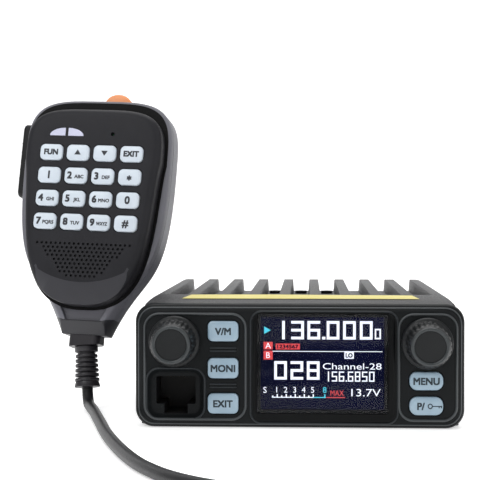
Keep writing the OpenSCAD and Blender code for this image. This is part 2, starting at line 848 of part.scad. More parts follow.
module mic_back_cover() {
    gap = 0.2;
    color("#66666c") in_mic_place() difference() {
        union() {
            difference() {
                mic_back_solid();
                mic_back_cavity();
            }
            for (p = mic_posts) rod(p, post_r, parting_y, back_y - 1.5);
        }
        neck_slant();
        translate([-mic_half_w - 1, ptt_y[0] - gap, ptt_z[0] - gap])
            cube([
                mic_half_w + 1 + ptt_inner_x,
                ptt_y[1] - ptt_y[0] + 2 * gap,
                ptt_z[1] - ptt_z[0] + 2 * gap
            ]);
        translate([top_button_x - top_button_w / 2 - gap, top_button_y[0] - gap, mic_h - 5])
            cube([top_button_w + 2 * gap, top_button_y[1] - top_button_y[0] + 2 * gap, 8]);
        for (p = mic_posts) {
            rod(p, mic_screw_r + 0.05, parting_y - 1, back_y + 1);
            rod(p, 2.2, back_y - 1.8, back_y + 1);
        }
    }
}

module mic_screws() {
    color("#1d1d1f") in_mic_place() for (p = mic_posts) difference() {
        union() {
            rod(p, mic_screw_r, parting_y - 3.2, back_y - 1.5);
            rod(p, 2.1, back_y - 1.8, back_y - 0.4);
        }
        translate([p[0], back_y, p[1]]) cube([2.6, 2, 0.5], center = true);
        translate([p[0], back_y, p[1]]) cube([0.5, 2, 2.6], center = true);
    }
}

module mic_indicators() {
    color("#c9cbe0") in_mic_place() along_y(face_y - 0.1, face_inner_y) indicator_pair(0);
}

module mic_key(i) {
    flange_y = face_inner_y + eps;
    color("#d7dfe8") in_mic_place() {
        key_plate(i, 0, face_y - key_proud, flange_y + key_flange_t / 2);
        key_plate(i, key_flange, flange_y, flange_y + key_flange_t);
    }
}

module mic_keypad_mat() {
    color("#a9b2bb") in_mic_place() plate([0, keypad_mid_z], keypad_back, 2.5, mat_y, mic_board_y);
}

module mic_board() {
    back = mic_board_y + board_t;
    color("#1f5a3a") in_mic_place() {
        plate([0, keypad_mid_z], keypad_back, 2.5, mic_board_y, back);
        plate([0, mic_hole_at[1] - 2.5], [24, 10], 1, mic_board_y, back);
        rod(mic_hole_at, 2.3, face_inner_y + 0.1, mic_board_y + 0.2);
        plate([4, keypad_mid_z + 4], [10, 12], 0.5, back, back + 2);
    }
}

module mic_speaker() {
    color("#2d2d30") in_mic_place() {
        rod(mic_speaker_at, mic_speaker_r, face_inner_y + 0.1, parting_y);
        rod(mic_speaker_at, 5, parting_y - 0.5, 1.5);
    }
}

module mic_hanger_stud() {
    color("#a4a6a8") in_mic_place() {
        rod([0, hanger_z], 3.4, back_y, back_y + 2);
        rod([0, hanger_z], 5.6, back_y + 1.8, back_y + 4);
    }
}

module ptt_button() {
    flange_y = 0.8;
    color("#3a3a3e") in_mic_place() {
        along_y(ptt_y[0], ptt_y[1])
            polygon([
                [ptt_inner_x - 0.2, ptt_z[0]], [ptt_inner_x - 0.2, ptt_z[1]], [-24, ptt_z[1]],
                [-26.6, ptt_z[1] - 2.6], [ptt_x, ptt_z[1] - 6], [ptt_x, ptt_z[0] + 3.4],
                [-26.8, ptt_z[0] + 1], [-25.4, ptt_z[0]]
            ]);
        along_y(ptt_y[0] - flange_y, ptt_y[1] + flange_y)
            translate([ptt_inner_x - 1, ptt_z[0] - 1]) square([1, ptt_z[1] - ptt_z[0] - 0.8]);
    }
}

module mic_top_button() {
    flange_z = 74.4;
    dome_r = 4.95;
    color("#f2a06a") in_mic_place() {
        along_y(top_button_y[0], top_button_y[1]) {
            translate([top_button_x - top_button_w / 2, flange_z + 0.5]) square([top_button_w, 2.6]);
            intersection() {
                translate([top_button_x, top_button_z - dome_r]) circle(r = dome_r, $fn = 96);
                translate([top_button_x - top_button_w / 2, flange_z + 2]) square([top_button_w, 8]);
            }
        }
        along_y(top_button_y[0] - 0.8, top_button_y[1] + 0.8)
            translate([top_button_x - top_button_w / 2 - 0.8, flange_z])
                square([top_button_w + 1.6, 1]);
    }
}

// ---- Strain relief and lead ----

// The strain relief hangs down from the gland, turned a little by the pull of the lead
module in_relief_place() {
    in_mic_place() translate([0, gland_y, -gland_len]) rotate([0, -relief_turn, 0]) children();
}

module mic_cord_gland() {
    color("#38343a") difference() {
        in_mic_place() translate([0, gland_y, -gland_len - 1])
            linear_extrude(gland_len + 1) polygon(round_rect(gland_size[0], gland_size[1], 2));
        in_relief_place() translate([0, 0, -5]) cube([30, 30, 10], center = true);
    }
}

module mic_strain_relief() {
    ribs = 6;
    rib_pitch = 1.55;
    cone_len = 1.9;
    color("#38343a") in_relief_place() translate([0, 0, -relief_len]) {
        cylinder(r = 2.9, h = relief_len);
        cylinder(r = 3.8, h = 2);
        for (i = [0:ribs - 1]) translate([0, 0, 2.8 + i * rib_pitch]) cylinder(r = 3.6 + 0.08 * i, h = 1);
        translate([0, 0, relief_len - cone_len]) cylinder(r1 = 3.8, r2 = 4.2, h = cone_len);
    }
}

// The direction of a vector of the microphone's frame, once the microphone stands in its place
function turn_x(v, a) = [v[0], v[1] * cos(a) - v[2] * sin(a), v[1] * sin(a) + v[2] * cos(a)];
function turn_y(v, a) = [v[0] * cos(a) + v[2] * sin(a), v[1], v[2] * cos(a) - v[0] * sin(a)];
function turn_z(v, a) = [v[0] * cos(a) - v[1] * sin(a), v[0] * sin(a) + v[1] * cos(a), v[2]];
function mic_direction(v) = turn_z(turn_y(turn_x(v, -mic_lean), mic_roll), mic_yaw);

function unit(v) = v / norm(v);

// Eight points around one point of a route, square to the direction of travel
function cord_ring(p, along, sides = 8) = let (
    across = unit(cross(along, [0, 0, 1])),
    up = cross(across, along)
) [for (i = [0:sides - 1]) let (a = 360 * (i + 0.5) / sides) p + cord_r * (across * cos(a) + up * sin(a))];

// A tube that is swept along a route, with its first and last rings square to the given directions
module cord_tube(route, first, last, sides = 8) {
    n = len(route);
    rings = [
        for (i = [0:n - 1])
            cord_ring(route[i], i == 0 ? first : i == n - 1 ? last : unit(route[i + 1] - route[i - 1]))
    ];
    points = [for (ring = rings, p = ring) p];
    start = [for (i = [0:sides - 1]) i];
    end = [for (i = [sides - 1:-1:0]) (n - 1) * sides + i];
    walls = [
        for (r = [0:n - 2], i = [0:sides - 1]) let (a = r * sides + i, b = r * sides + (i + 1) % sides)
            [b, a, a + sides, b + sides]
    ];
    polyhedron(points, concat([start], [end], walls), convexity = 10);
}

module mic_cord_lead() {
    relief = mic_direction(turn_y([0, 0, -1], -relief_turn));
    color("#2f2f31") cord_tube(lead_route, relief, [-1, 0, 0]);
}

module mic_cord_tail() {
    color("#2f2f31") cord_tube(tail_route, [-1, 0, 0], [1, 0, 0]);
}

module mic_cord_curl() {
    color("#2f2f31") translate([curl_x[0], curl_y, curl_d / 2]) rotate([0, 90, 0])
        cylinder(r = curl_d / 2, h = curl_x[1] - curl_x[0]);
}

// An eight-way modular plug that lies with its latch up
module mic_plug() {
    length = plug_x[1] - plug_x[0];
    color("#c8ccd0", 0.6) translate([plug_x[0], plug_y, 0]) {
        difference() {
            translate([0, -plug_size[0] / 2, 0]) cube([length, plug_size[0], plug_size[1]]);
            translate([length - 8, -plug_size[0] / 2 - 1, 6.6]) cube([9, plug_size[0] + 2, 2]);
            for (i = [0:jack_wires - 1])
                translate([length - 4.5, (i - (jack_wires - 1) / 2) * contact_pitch - 0.3, -1])
                    cube([5, 0.6, 1.8]);
        }
        translate([length - 1.5, -3, 6.1]) rotate([0, -165, 0]) translate([0, 0, -1]) cube([16, 6, 1]);
    }
}

chassis();
bottom_cover();
front_panel();
display_window();
display_module();
mic_jack();
jack_contacts();
control_board();
main_board();
volume_control();
channel_encoder();
speaker();
fan_frame();
antenna_socket();
power_inlet();
speaker_jack();
case_screws();
volume_knob();
volume_shaft();
channel_knob();
channel_shaft();
button_band();
button_monitor();
button_exit();
button_menu();
button_lock();
fan_rotor();
mic_front_cover();
mic_back_cover();
mic_keypad_mat();
mic_board();
mic_speaker();
mic_indicators();
mic_cord_gland();
mic_strain_relief();
mic_hanger_stud();
mic_screws();
ptt_button();
mic_top_button();
for (i = [0:len(KEY_NODES) - 1])
    mic_key(i);
mic_cord_lead();
mic_cord_curl();
mic_cord_tail();
mic_plug();
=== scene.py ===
import json
import math

import bmesh
import bpy
from mathutils import Matrix, Vector


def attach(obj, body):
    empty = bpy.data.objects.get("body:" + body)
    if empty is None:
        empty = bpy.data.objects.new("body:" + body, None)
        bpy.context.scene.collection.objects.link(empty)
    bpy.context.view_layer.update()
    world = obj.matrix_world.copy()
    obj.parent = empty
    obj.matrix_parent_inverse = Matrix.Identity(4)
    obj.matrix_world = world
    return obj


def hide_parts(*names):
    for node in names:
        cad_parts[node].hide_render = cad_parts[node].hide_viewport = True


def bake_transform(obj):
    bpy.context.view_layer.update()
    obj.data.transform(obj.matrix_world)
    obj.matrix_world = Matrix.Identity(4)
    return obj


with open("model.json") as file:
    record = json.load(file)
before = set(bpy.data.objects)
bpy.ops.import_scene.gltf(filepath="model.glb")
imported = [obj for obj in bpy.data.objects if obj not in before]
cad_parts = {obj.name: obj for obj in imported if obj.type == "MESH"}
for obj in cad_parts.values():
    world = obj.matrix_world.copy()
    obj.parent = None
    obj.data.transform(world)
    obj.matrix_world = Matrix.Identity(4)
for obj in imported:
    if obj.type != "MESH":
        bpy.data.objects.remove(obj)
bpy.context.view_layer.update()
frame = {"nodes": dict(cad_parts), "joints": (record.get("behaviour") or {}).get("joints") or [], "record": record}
nodes = frame["nodes"]
MM = 0.001
SUNK = 0.3  # how far a raised line reaches into the surface under it
CAPITAL = 0.7  # height of a capital letter, as a share of its type size
COPY_STEP = 0.003  # depth between the shifted copies of a bold letter

# ---------------------------------------------------------------- mesh helpers


def add_mesh(name, points, faces, place=Matrix(), sharp=35):
    """A mesh object from points in millimetres.

    Its shading is smooth where two faces meet at under sharp degrees.
    """
    mesh = bpy.data.meshes.new(name)
    mesh.from_pydata([Vector(p) * MM for p in points], [], faces)
    shape = bmesh.new()
    shape.from_mesh(mesh)
    bmesh.ops.recalc_face_normals(shape, faces=shape.faces)
    shape.to_mesh(mesh)
    shape.free()
    piece = bpy.data.objects.new(name, mesh)
    piece.matrix_world = place
    bpy.context.scene.collection.objects.link(piece)
    shade(piece, sharp)
    return piece


def shade(piece, sharp=35):
    """Shades a piece smooth, apart from its edges of sharp degrees and more."""
    for polygon in piece.data.polygons:
        polygon.use_smooth = True
    piece.data.set_sharp_from_angle(angle=math.radians(sharp))


def arc(x, y, radius, start, end, steps=8):
    """Points of an arc, with its angles in degrees."""
    turns = [math.radians(start + (end - start) * i / steps) for i in range(steps + 1)]
    return [(x + radius * math.cos(a), y + radius * math.sin(a)) for a in turns]


def round_rect(width, height, corner, at=(0, 0), steps=8):
    """A rectangle with round corners, anticlockwise."""
    x, y = width / 2 - corner, height / 2 - corner
    points = (
        arc(x, y, corner, 0, 90, steps)
        + arc(-x, y, corner, 90, 180, steps)
        + arc(-x, -y, corner, 180, 270, steps)
        + arc(x, -y, corner, 270, 360, steps)
    )
    return [(at[0] + p[0], at[1] + p[1]) for p in points]


def loft(name, rings, place=Matrix(), closed=False, sharp=35):
    """A skin over rings of equally many points. closed joins the last ring to the first."""
    count = len(rings[0])
    points = [p for ring in rings for p in ring]
    faces = []
    for r in range(len(rings) if closed else len(rings) - 1):
        a, b = r * count, (r + 1) % len(rings) * count
        for i in range(count):
            j = (i + 1) % count
            faces.append((a + i, a + j, b + j, b + i))
    if not closed:
        faces.append(tuple(range(count)))
        faces.append(tuple((len(rings) - 1) * count + i for i in reversed(range(count))))
    return add_mesh(name, points, faces, place, sharp)


def facing(name, layers, place=Matrix(), sharp=35):
    """A solid that faces the front, from (outline, depth) layers.

    An outline holds (x, z) points, as seen from the front.
    """
    rings = [[(x, depth, z) for x, z in outline] for outline, depth in layers]
    return loft(name, rings, place, sharp=sharp)


def plate(name, size, corner, at, layers, place=Matrix(), steps=8, rounding=1.0, sharp=35):
    """A solid whose layers are rectangles with round corners, from (growth, depth) pairs.

    rounding says how much a corner's radius grows with its rectangle.
    """
    outlines = []
    for grow, depth in layers:
        width, height = size[0] + 2 * grow, size[1] + 2 * grow
        outlines.append((round_rect(width, height, corner + rounding * grow, at, steps), depth))
    return facing(name, outlines, place, sharp)


def turned(name, profile, at, fluted=None, steps=96, place=Matrix(), sharp=35):
    """A solid turned about a line along Y, from (radius, depth) steps.

    fluted(angle, i) shrinks the radius of step i at that angle.
    """
    rings = []
    for i, (radius, depth) in enumerate(profile):
        ring = []
        for k in range(steps):
            a = 2 * math.pi * k / steps
            r = radius - (fluted(a, i) if fluted else 0)
            ring.append((at[0] + r * math.cos(a), depth, at[1] + r * math.sin(a)))
        rings.append(ring)
    return loft(name, rings, place, sharp=sharp)


def frame_line(name, at, size, corner, depth, rise, width):
    """A thin raised line with a round crest that runs round a rectangle with round corners."""
    half = width / 2
    profile = [
        (-half, SUNK), (-half, 0), (-half * 0.5, -rise * 0.8), (0, -rise),
        (half * 0.5, -rise * 0.8), (half, 0), (half, SUNK),
    ]
    rings = []
    for grow, out in profile:
        outline = round_rect(size[0] + 2 * grow, size[1] + 2 * grow, corner + grow, at, 10)
        rings.append([(x, depth + out, z) for x, z in outline])
    return loft(name, rings, closed=True, sharp=60)


def tube(name, path, radius, sides=12):
    """A round tube along a path, whose rings turn as little as possible."""
    rings = []
    across = None
    for i, point in enumerate(path):
        before, after = path[max(i - 1, 0)], path[min(i + 1, len(path) - 1)]
        along = (after - before).normalized()
        if across is None:
            across = along.cross(Vector((0, 1, 0))).normalized()
        across = (across - along * across.dot(along)).normalized()
        up = along.cross(across)
        turns = [2 * math.pi * k / sides for k in range(sides)]
        rings.append([point + radius * (math.cos(a) * across + math.sin(a) * up) for a in turns])
    return loft(name, rings, sharp=60)


def through(points, steps=4):
    """A smooth curve through points."""
    curve = []
    for i in range(len(points) - 1):
        a, b = points[max(i - 1, 0)], points[i]
        c, d = points[i + 1], points[min(i + 2, len(points) - 1)]
        for k in range(steps):
            t = k / steps
            bend = (2 * b) + (c - a) * t + (2 * a - 5 * b + 4 * c - d) * t * t
            curve.append(0.5 * (bend + (3 * b - a - 3 * c + d) * t * t * t))
    return curve + [points[-1]]


def cut(piece, cutters):
    """Takes the cutters' shapes out of the piece and throws the cutters away."""
    for cutter in cutters:
        step = piece.modifiers.new("cut", "BOOLEAN")
        step.operation = "DIFFERENCE"
        step.solver = "EXACT"
        step.object = cutter
    apply(piece)
    for cutter in cutters:
        bpy.data.objects.remove(cutter)


def apply(piece, sharp=35):
    """Applies all of a piece's modifiers."""
    bpy.context.view_layer.update()
    seen = piece.evaluated_get(bpy.context.evaluated_depsgraph_get())
    piece.data = bpy.data.meshes.new_from_object(seen)
    piece.modifiers.clear()
    shade(piece, sharp)


def join(name, parts):
    """One mesh object from several."""
    shape = bmesh.new()
    for part in parts:
        copy = part.data.copy()
        copy.transform(parts[0].matrix_world.inverted() @ part.matrix_world)
        shape.from_mesh(copy)
        bpy.data.meshes.remove(copy)
    mesh = bpy.data.meshes.new(name)
    shape.to_mesh(mesh)
    shape.free()
    whole = bpy.data.objects.new(name, mesh)
    whole.matrix_world = parts[0].matrix_world
    bpy.context.scene.collection.objects.link(whole)
    for part in parts:
        bpy.data.objects.remove(part)
    shade(whole)
    return whole


def lettering(
    name, text, height, at, depth, place=Matrix(), width=None, thick=0.06, weight=0.0, stretch=False
):
    """Raised letters that face the front, centred on at.

    width is their greatest width, or with stretch their width. weight makes their strokes that
    much wider, with shifted copies that lie a hair behind each other.
    """
    curve = bpy.data.curves.new(name, "FONT")
    curve.body = text
    curve.size = height / CAPITAL
    curve.align_x = "CENTER"
    curve.extrude = thick
    curve.resolution_u = 3
    source = bpy.data.objects.new(name + "_source", curve)
    bpy.context.scene.collection.objects.link(source)
    bpy.context.view_layer.update()
    seen = source.evaluated_get(bpy.context.evaluated_depsgraph_get())
    mesh = bpy.data.meshes.new_from_object(seen)
    bpy.data.objects.remove(source)
    across = [v.co.x for v in mesh.vertices]
    squeeze = width / (max(across) - min(across)) if width else 1
    if not stretch:
        squeeze = min(1, squeeze)
    middle = (max(across) + min(across)) / 2
    shifts = [(0, 0)]
    if weight:
        corners = [(-weight, -weight), (weight, -weight), (weight, weight), (-weight, weight)]
        shifts = corners + shifts
    points, faces = [], []
    for i, (right, higher) in enumerate(shifts):
        first = len(points)
        for v in mesh.vertices:
            x, up, out = v.co
            x = at[0] + (x - middle) * squeeze + right / 2
            z = at[1] + up - height / 2 + higher / 2
            points.append((x, depth - out + COPY_STEP * i, z))
        faces += [tuple(first + v for v in polygon.vertices) for polygon in mesh.polygons]
    bpy.data.meshes.remove(mesh)
    return add_mesh(name, points, faces, place)


# ---------------------------------------------------------------- materials


def surface(
    name, low, high, rough=(0.4, 0.5), grain=2500, bump=0.15, mottle=60,
    metallic=0.0, coat=0.0, glow=None, glass=0.0, specular=0.5,
):
    """A moulded, cast or painted finish: two mottled colours, uneven gloss and a fine grain."""
    material = bpy.data.materials.new(name)
    material.use_nodes = True
    tree = material.node_tree
    shader = tree.nodes["Principled BSDF"]
    place = tree.nodes.new("ShaderNodeTexCoord")

    def noise(scale, detail):
        node = tree.nodes.new("ShaderNodeTexNoise")
        node.inputs["Scale"].default_value = scale
        node.inputs["Detail"].default_value = detail
        tree.links.new(place.outputs["Object"], node.inputs["Vector"])
        return node.outputs["Fac"]

    cloud = noise(mottle, 4)
    fine = noise(grain, 3)
    mix = tree.nodes.new("ShaderNodeMix")
    mix.data_type = "RGBA"
    mix.inputs["A"].default_value = (*hexed(low), 1)
    mix.inputs["B"].default_value = (*hexed(high), 1)
    tree.links.new(cloud, mix.inputs["Factor"])
    tree.links.new(mix.outputs["Result"], shader.inputs["Base Color"])
    gloss = tree.nodes.new("ShaderNodeMapRange")
    gloss.inputs["From Min"].default_value = 0.3
    gloss.inputs["From Max"].default_value = 0.7
    gloss.inputs["To Min"].default_value = rough[0]
    gloss.inputs["To Max"].default_value = rough[1]
    tree.links.new(fine, gloss.inputs["Value"])
    tree.links.new(gloss.outputs["Result"], shader.inputs["Roughness"])
    relief = tree.nodes.new("ShaderNodeBump")
    relief.inputs["Strength"].default_value = bump
    relief.inputs["Distance"].default_value = 0.0001
    tree.links.new(fine, relief.inputs["Height"])
    tree.links.new(relief.outputs["Normal"], shader.inputs["Normal"])
    shader.inputs["Metallic"].default_value = metallic
    shader.inputs["Coat Weight"].default_value = coat
    shader.inputs["Specular IOR Level"].default_value = specular
    shader.inputs["Transmission Weight"].default_value = glass
    if glow:
        shader.inputs["Emission Strength"].default_value = glow
        tree.links.new(mix.outputs["Result"], shader.inputs["Emission Color"])
    return material


def hexed(code):
    """The linear colour of an sRGB colour code."""
    values = [int(code[i : i + 2], 16) / 255 for i in (0, 2, 4)]
    return tuple(v / 12.92 if v <= 0.04045 else ((v + 0.055) / 1.055) ** 2.4 for v in values)


MATERIALS = {
    "panel": surface(
        "panel_black", "0d0f10", "15181a",
        rough=(0.36, 0.5), bump=0.12, specular=0.14,
    ),
    # A lighter copy of the panel black: painted highlight for the crests of the outer raised outlines.
    "panel_edge": surface("panel_edge", "34383a", "434749", rough=(0.3, 0.45), bump=0.08),
    # A lighter copy of the panel black: painted highlight for the crests of the inner raised outlines and bars.
    "ridge": surface(
        "ridge_painted_highlight", "202427", "2a2e31",
        rough=(0.34, 0.46), bump=0.08, specular=0.3,
    ),
    "bezel": surface(
        "bezel_black", "08090a", "0e1011",
        rough=(0.28, 0.4), bump=0.08, specular=0.1,
    ),
    "knob": surface(
        "knob_black", "0f1112", "191b1d",
        rough=(0.3, 0.42), bump=0.1, specular=0.28,
    ),
    # A lighter copy of the knob black: painted highlight on the knobs' front rings.
    "knob_rim_highlight": surface("knob_rim_highlight", "24282a", "34393b", rough=(0.26, 0.36), bump=0.05),
    "knob_face": surface(
        "knob_face", "0c0e0f", "141617",
        rough=(0.35, 0.5), bump=0.1, specular=0.14,
    ),
    "cast": surface(
        "cast_paint", "353536", "4b4b4d",
        rough=(0.42, 0.6), grain=1800, bump=0.3, mottle=35, metallic=0.1, specular=0.35,
    ),
    "sheet": surface(
        "sheet_paint", "2c2c2e", "3b3b3d",
        rough=(0.45, 0.6), grain=1500, bump=0.25,
    ),
    "strip": surface("strip_print", "d2c45e", "e6da84", rough=(0.35, 0.45), bump=0.05),
    "button": surface(
        "button_haze", "7e98aa", "a3b8c6",
        rough=(0.3, 0.42), bump=0.05, mottle=180, coat=0.3,
    ),
    "legend": surface("legend_ink", "10202a", "1b2b33", rough=(0.5, 0.6), bump=0.0),
    "key": surface(
        "key_haze", "bcc7d2", "d3dce5",
        rough=(0.28, 0.4), bump=0.04, mottle=220, coat=0.2,
    ),
    "key_legend": surface("key_ink", "1c1e26", "2a2c33", rough=(0.5, 0.6), bump=0.0),
    "face": surface(
        "face_plastic", "1e1e21", "29292d",
        rough=(0.4, 0.52), bump=0.12, specular=0.16,
    ),
    # A lighter copy of the face plastic: painted reflection of the floor on the lower cover.
    "chin": surface(
        "chin_painted_reflection", "2e2e32", "3c3c41",
        rough=(0.34, 0.46), bump=0.1, specular=0.3,
    ),
    "shell": surface("shell_plastic", "5f5f66", "73737b", rough=(0.4, 0.52), bump=0.15),
    "neck": surface("neck_plastic", "222226", "303035", rough=(0.38, 0.5), bump=0.12),
    # Near black: painted shade for the gap round the microphone's cover.
    "groove": surface(
        "groove_painted_shade", "060607", "0c0c0d",
        rough=(0.5, 0.6), bump=0.1, specular=0.15,
    ),
    "lamp": surface("lamp_lens", "b6b9d0", "cfd1e6", rough=(0.3, 0.4), bump=0.03, coat=0.3),
    "orange": surface(
        "orange_plastic", "ea8a4c", "f6ab78",
        rough=(0.35, 0.5), bump=0.1, mottle=150,
    ),
    "rubber": surface(
        "relief_rubber", "1c1a1e", "2a282d",
        rough=(0.3, 0.45), bump=0.1, mottle=150, specular=0.4,
    ),
    "jacket": surface(
        "cord_jacket", "161618", "242427",
        rough=(0.38, 0.5), bump=0.05, mottle=200, specular=0.35,
    ),
    "dark": surface("black_plastic", "0d0d0f", "161618", rough=(0.45, 0.6), specular=0.3),
    "steel": surface(
        "brushed_steel", "9c9c9a", "b8b8b6",
        rough=(0.25, 0.42), metallic=1.0, bump=0.1,
    ),
    "nickel": surface(
        "nickel_plate", "8e9094", "a6a8ac",
        rough=(0.14, 0.28), metallic=1.0, bump=0.06,
    ),
    "blackened": surface(
        "blackened_steel", "1c1c1e", "2e2e30",
        rough=(0.35, 0.5), metallic=0.7,
    ),
    "gold": surface(
        "gold_plate", "c9a349", "e0bd67",
        rough=(0.15, 0.28), metallic=1.0, bump=0.05,
    ),
    "board": surface(
        "board_green", "14502e", "1f6a3e",
        rough=(0.3, 0.45), bump=0.2, mottle=400,
    ),
    "silicone": surface("silicone", "9aa3ad", "b0b8c1", rough=(0.5, 0.65)),
    "clear": surface(
        "clear_plastic", "b4bac0", "d2d6da",
        rough=(0.12, 0.2), bump=0.03, glass=0.35,
    ),
    "screen": surface(
        "screen_dark", "01020a", "0a0e30",
        rough=(0.5, 0.6), bump=0.0, mottle=25, glow=0.6, specular=0.0,
    ),
    "white_glow": surface(
        "lit_white", "e4ebff", "f6f9ff",
        rough=(0.4, 0.5), bump=0.0, glow=0.75,
    ),
    "cyan_glow": surface("lit_cyan", "2fb6d8", "50d0e6", rough=(0.4, 0.5), bump=0.0, glow=0.7),
    "red_glow": surface("lit_red", "c8343a", "e0484c", rough=(0.4, 0.5), bump=0.0, glow=0.6),
}

window_glass = bpy.data.materials.new("window_glass")
window_glass.use_nodes = True
glass_nodes = window_glass.node_tree
glass_shader = glass_nodes.nodes["Principled BSDF"]
smudge = glass_nodes.nodes.new("ShaderNodeTexNoise")
smudge.inputs["Scale"].default_value = 120
smudge_range = glass_nodes.nodes.new("ShaderNodeMapRange")
smudge_range.inputs["To Min"].default_value = 0.02
smudge_range.inputs["To Max"].default_value = 0.07
glass_nodes.links.new(smudge.outputs["Fac"], smudge_range.inputs["Value"])
glass_nodes.links.new(smudge_range.outputs["Result"], glass_shader.inputs["Roughness"])
glass_shader.inputs["Base Color"].default_value = (0.02, 0.02, 0.025, 1)
glass_shader.inputs["Alpha"].default_value = 0.12


def finish(piece, body, material, stands_for=()):
    """Gives a piece its material and its body, and hides the CAD nodes that it stands for."""
    piece.data.materials.clear()
    piece.data.materials.append(MATERIALS[material])
    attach(piece, body)
    if stands_for:
        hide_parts(*stands_for)
    return piece


# ---------------------------------------------------------------- camera

# Fitted to where the front panel, the display and the microphone show
camera = bpy.data.objects.new("camera", bpy.data.cameras.new("camera"))
camera.data.lens = 108.9
camera.data.clip_start = 0.01
camera.location = (0.0027, -0.489, 0.065)
camera.rotation_euler = (math.radians(88.8), 0, math.radians(2.7))
bpy.context.scene.collection.objects.link(camera)
bpy.context.scene.camera = camera
bpy.context.scene.view_settings.view_transform = "Standard"

# ---------------------------------------------------------------- lead

CORD_D = 3.6
LEAD_ROUTE = [
    (-69.2, -19.85, 7.07), (-69, -20.6, 5.2), (-68.6, -22.2, 3.4), (-68, -24.2, 2.2),
    (-67.3, -26.4, 1.8), (-66.2, -30.5, 1.8), (-64.8, -36, 1.8), (-62.8, -44.5, 1.8),
    (-60.7, -54, 1.8), (-58.3, -64.6, 1.8), (-55.9, -75.5, 1.8), (-53.4, -86, 1.8),
    (-50.6, -96.5, 1.8), (-47.6, -107, 1.8), (-44.3, -117.5, 1.8), (-40.6, -128, 1.8),
    (-36.2, -138, 1.8), (-30.6, -148, 1.8), (-23.5, -156.5, 1.8), (-15, -163.2, 1.8),
    (-6, -168.2, 1.8), (4, -171.8, 1.8), (14, -174.3, 1.8), (24, -176, 1.8), (35, -177.2, 1.8),
    (46, -178, 1.8), (52.5, -179.3, 1.8), (58, -183, 1.8), (61.7, -188.5, 1.8), (63, -195, 1.8),
    (61.7, -201.5, 1.8), (58, -207, 1.8), (52.5, -210.7, 1.8), (45, -212, 1.8),
]
TAIL_ROUTE = [
    (-105, -212, 1.8), (-110.6, -212.9, 1.8), (-114.5, -215.5, 1.8), (-117.1, -219.4, 1.8),
    (-118, -224, 1.8), (-117.1, -228.6, 1.8), (-114.5, -232.5, 1.8), (-110.6, -235.1, 1.8),
    (-106, -236, 1.8), (-98, -236, 1.8), (-92, -236, 2.4), (-88, -236, 3.4), (-85, -236, 4),
]
CURL_R = 3.7
CURL_TURNS = 36
CURL_EASE = 9  # length at each end in which the turns build up
CURL_STEPS = 18  # points in a turn


def curl_path():
    """The curly stretch: a helix that eases in from, and out to, a straight run along its floor."""
    start, end = Vector(LEAD_ROUTE[-1]), Vector(TAIL_ROUTE[0])
    length = (end - start).length
    steps = CURL_TURNS * CURL_STEPS
    angles = [-90.0]
    for i in range(steps):
        gone = length * (i + 0.5) / steps
        near_end = min(gone, length - gone) / CURL_EASE
        rate = near_end * near_end * (3 - 2 * near_end) if near_end < 1 else 1
        angles.append(angles[-1] + rate)
    scale = 360 * CURL_TURNS / (angles[-1] + 90)
    path = []
    for i, angle in enumerate(angles):
        turn = math.radians((angle + 90) * scale - 90)
        sideways = CURL_R * math.cos(turn)
        up = CURL_R * (1 + math.sin(turn))
        path.append(Vector((start.x - length * i / steps, start.y + sideways, start.z + up)))
    return path


lead_path = through([Vector(p) for p in LEAD_ROUTE])
tail_path = through([Vector(p) for p in TAIL_ROUTE])
cord_path = lead_path[:-1] + curl_path() + tail_path[1:]
cord = tube("mic_lead", cord_path, CORD_D / 2)
cord.data.materials.append(MATERIALS["jacket"])
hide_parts("mic_cord_lead", "mic_cord_curl", "mic_cord_tail")
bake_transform(cord)

# ---------------------------------------------------------------- front panel

PANEL_SIZE = (98, 37)
PANEL_MID = (0, 18.5)
PANEL_Y = -59.0
BEHIND, BEFORE = -54, -60  # depths behind and in front of the panel's wall, for cuts through it
SCREEN_AT = (6.85, 19.3)
BEZEL_AT = (7.35, 18.2)
JACK_AT = (-36.8, 10.2)
VOLUME_AT = (-37, 25.9)
CHANNEL_AT = (37.7, 25.6)
BUTTONS = {  # centre, size, corner radius and legend
    "band": ((-22.6, 28.9), (9.1, 6.0), 1.5, "V/M"),
    "monitor": ((-22.6, 17.9), (9.1, 6.0), 1.5, "MONI"),
    "exit": ((-22.6, 7.4), (9.1, 6.0), 1.5, "EXIT"),
    "menu": ((37.5, 14.4), (9.9, 5.4), 2.3, "MENU"),
    "lock": ((37.5, 7.0), (9.9, 5.4), 2.3, "P/"),
}
panel_layers = []
for inset, depth, corner in (
    (0, -51, 5.5), (0, -56.4, 5.5), (0.35, -57.5, 5.3), (0.9, -58.0, 5),
    (1.3, -58.1, 4.8), (1.5, -58.6, 4.6), (2.1, -59, 4.2),
):
    width, height = PANEL_SIZE[0] - 2 * inset, PANEL_SIZE[1] - 2 * inset
    panel_layers.append((round_rect(width, height, corner, PANEL_MID, 10), depth))
panel = facing("panel", panel_layers)
raised_bezel = plate(
    "raised_bezel", (41.9, 32), 2.5, BEZEL_AT,
    [(0, -58.5), (0, -59.4), (-0.25, -59.62), (-0.7, -59.7)],
    rounding=0.6,
)
window_seat = plate("window_seat", (39.2, 29.9), 0.8, SCREEN_AT, [(0, -58.55), (0, -62)])
jack_recess = plate(
    "jack_recess", (16, 14), 3.2, JACK_AT,
    [(-0.9, -57.4), (-0.35, -57.9), (0, -58.6), (0.5, -59.3), (0.5, BEFORE)],
)
jack_slot = plate("jack_slot", (11.8, 8.25), 0.5, (-36.8, 11.075), [(0, BEHIND), (0, BEFORE)])
latch_slot = plate("latch_slot", (7, 3.6), 0.3, (-36.8, 5.7), [(0, BEHIND), (0, BEFORE)])
hole_layers = [(0.15, BEHIND), (0.15, -58.7), (0.5, -59.2), (0.5, BEFORE)]
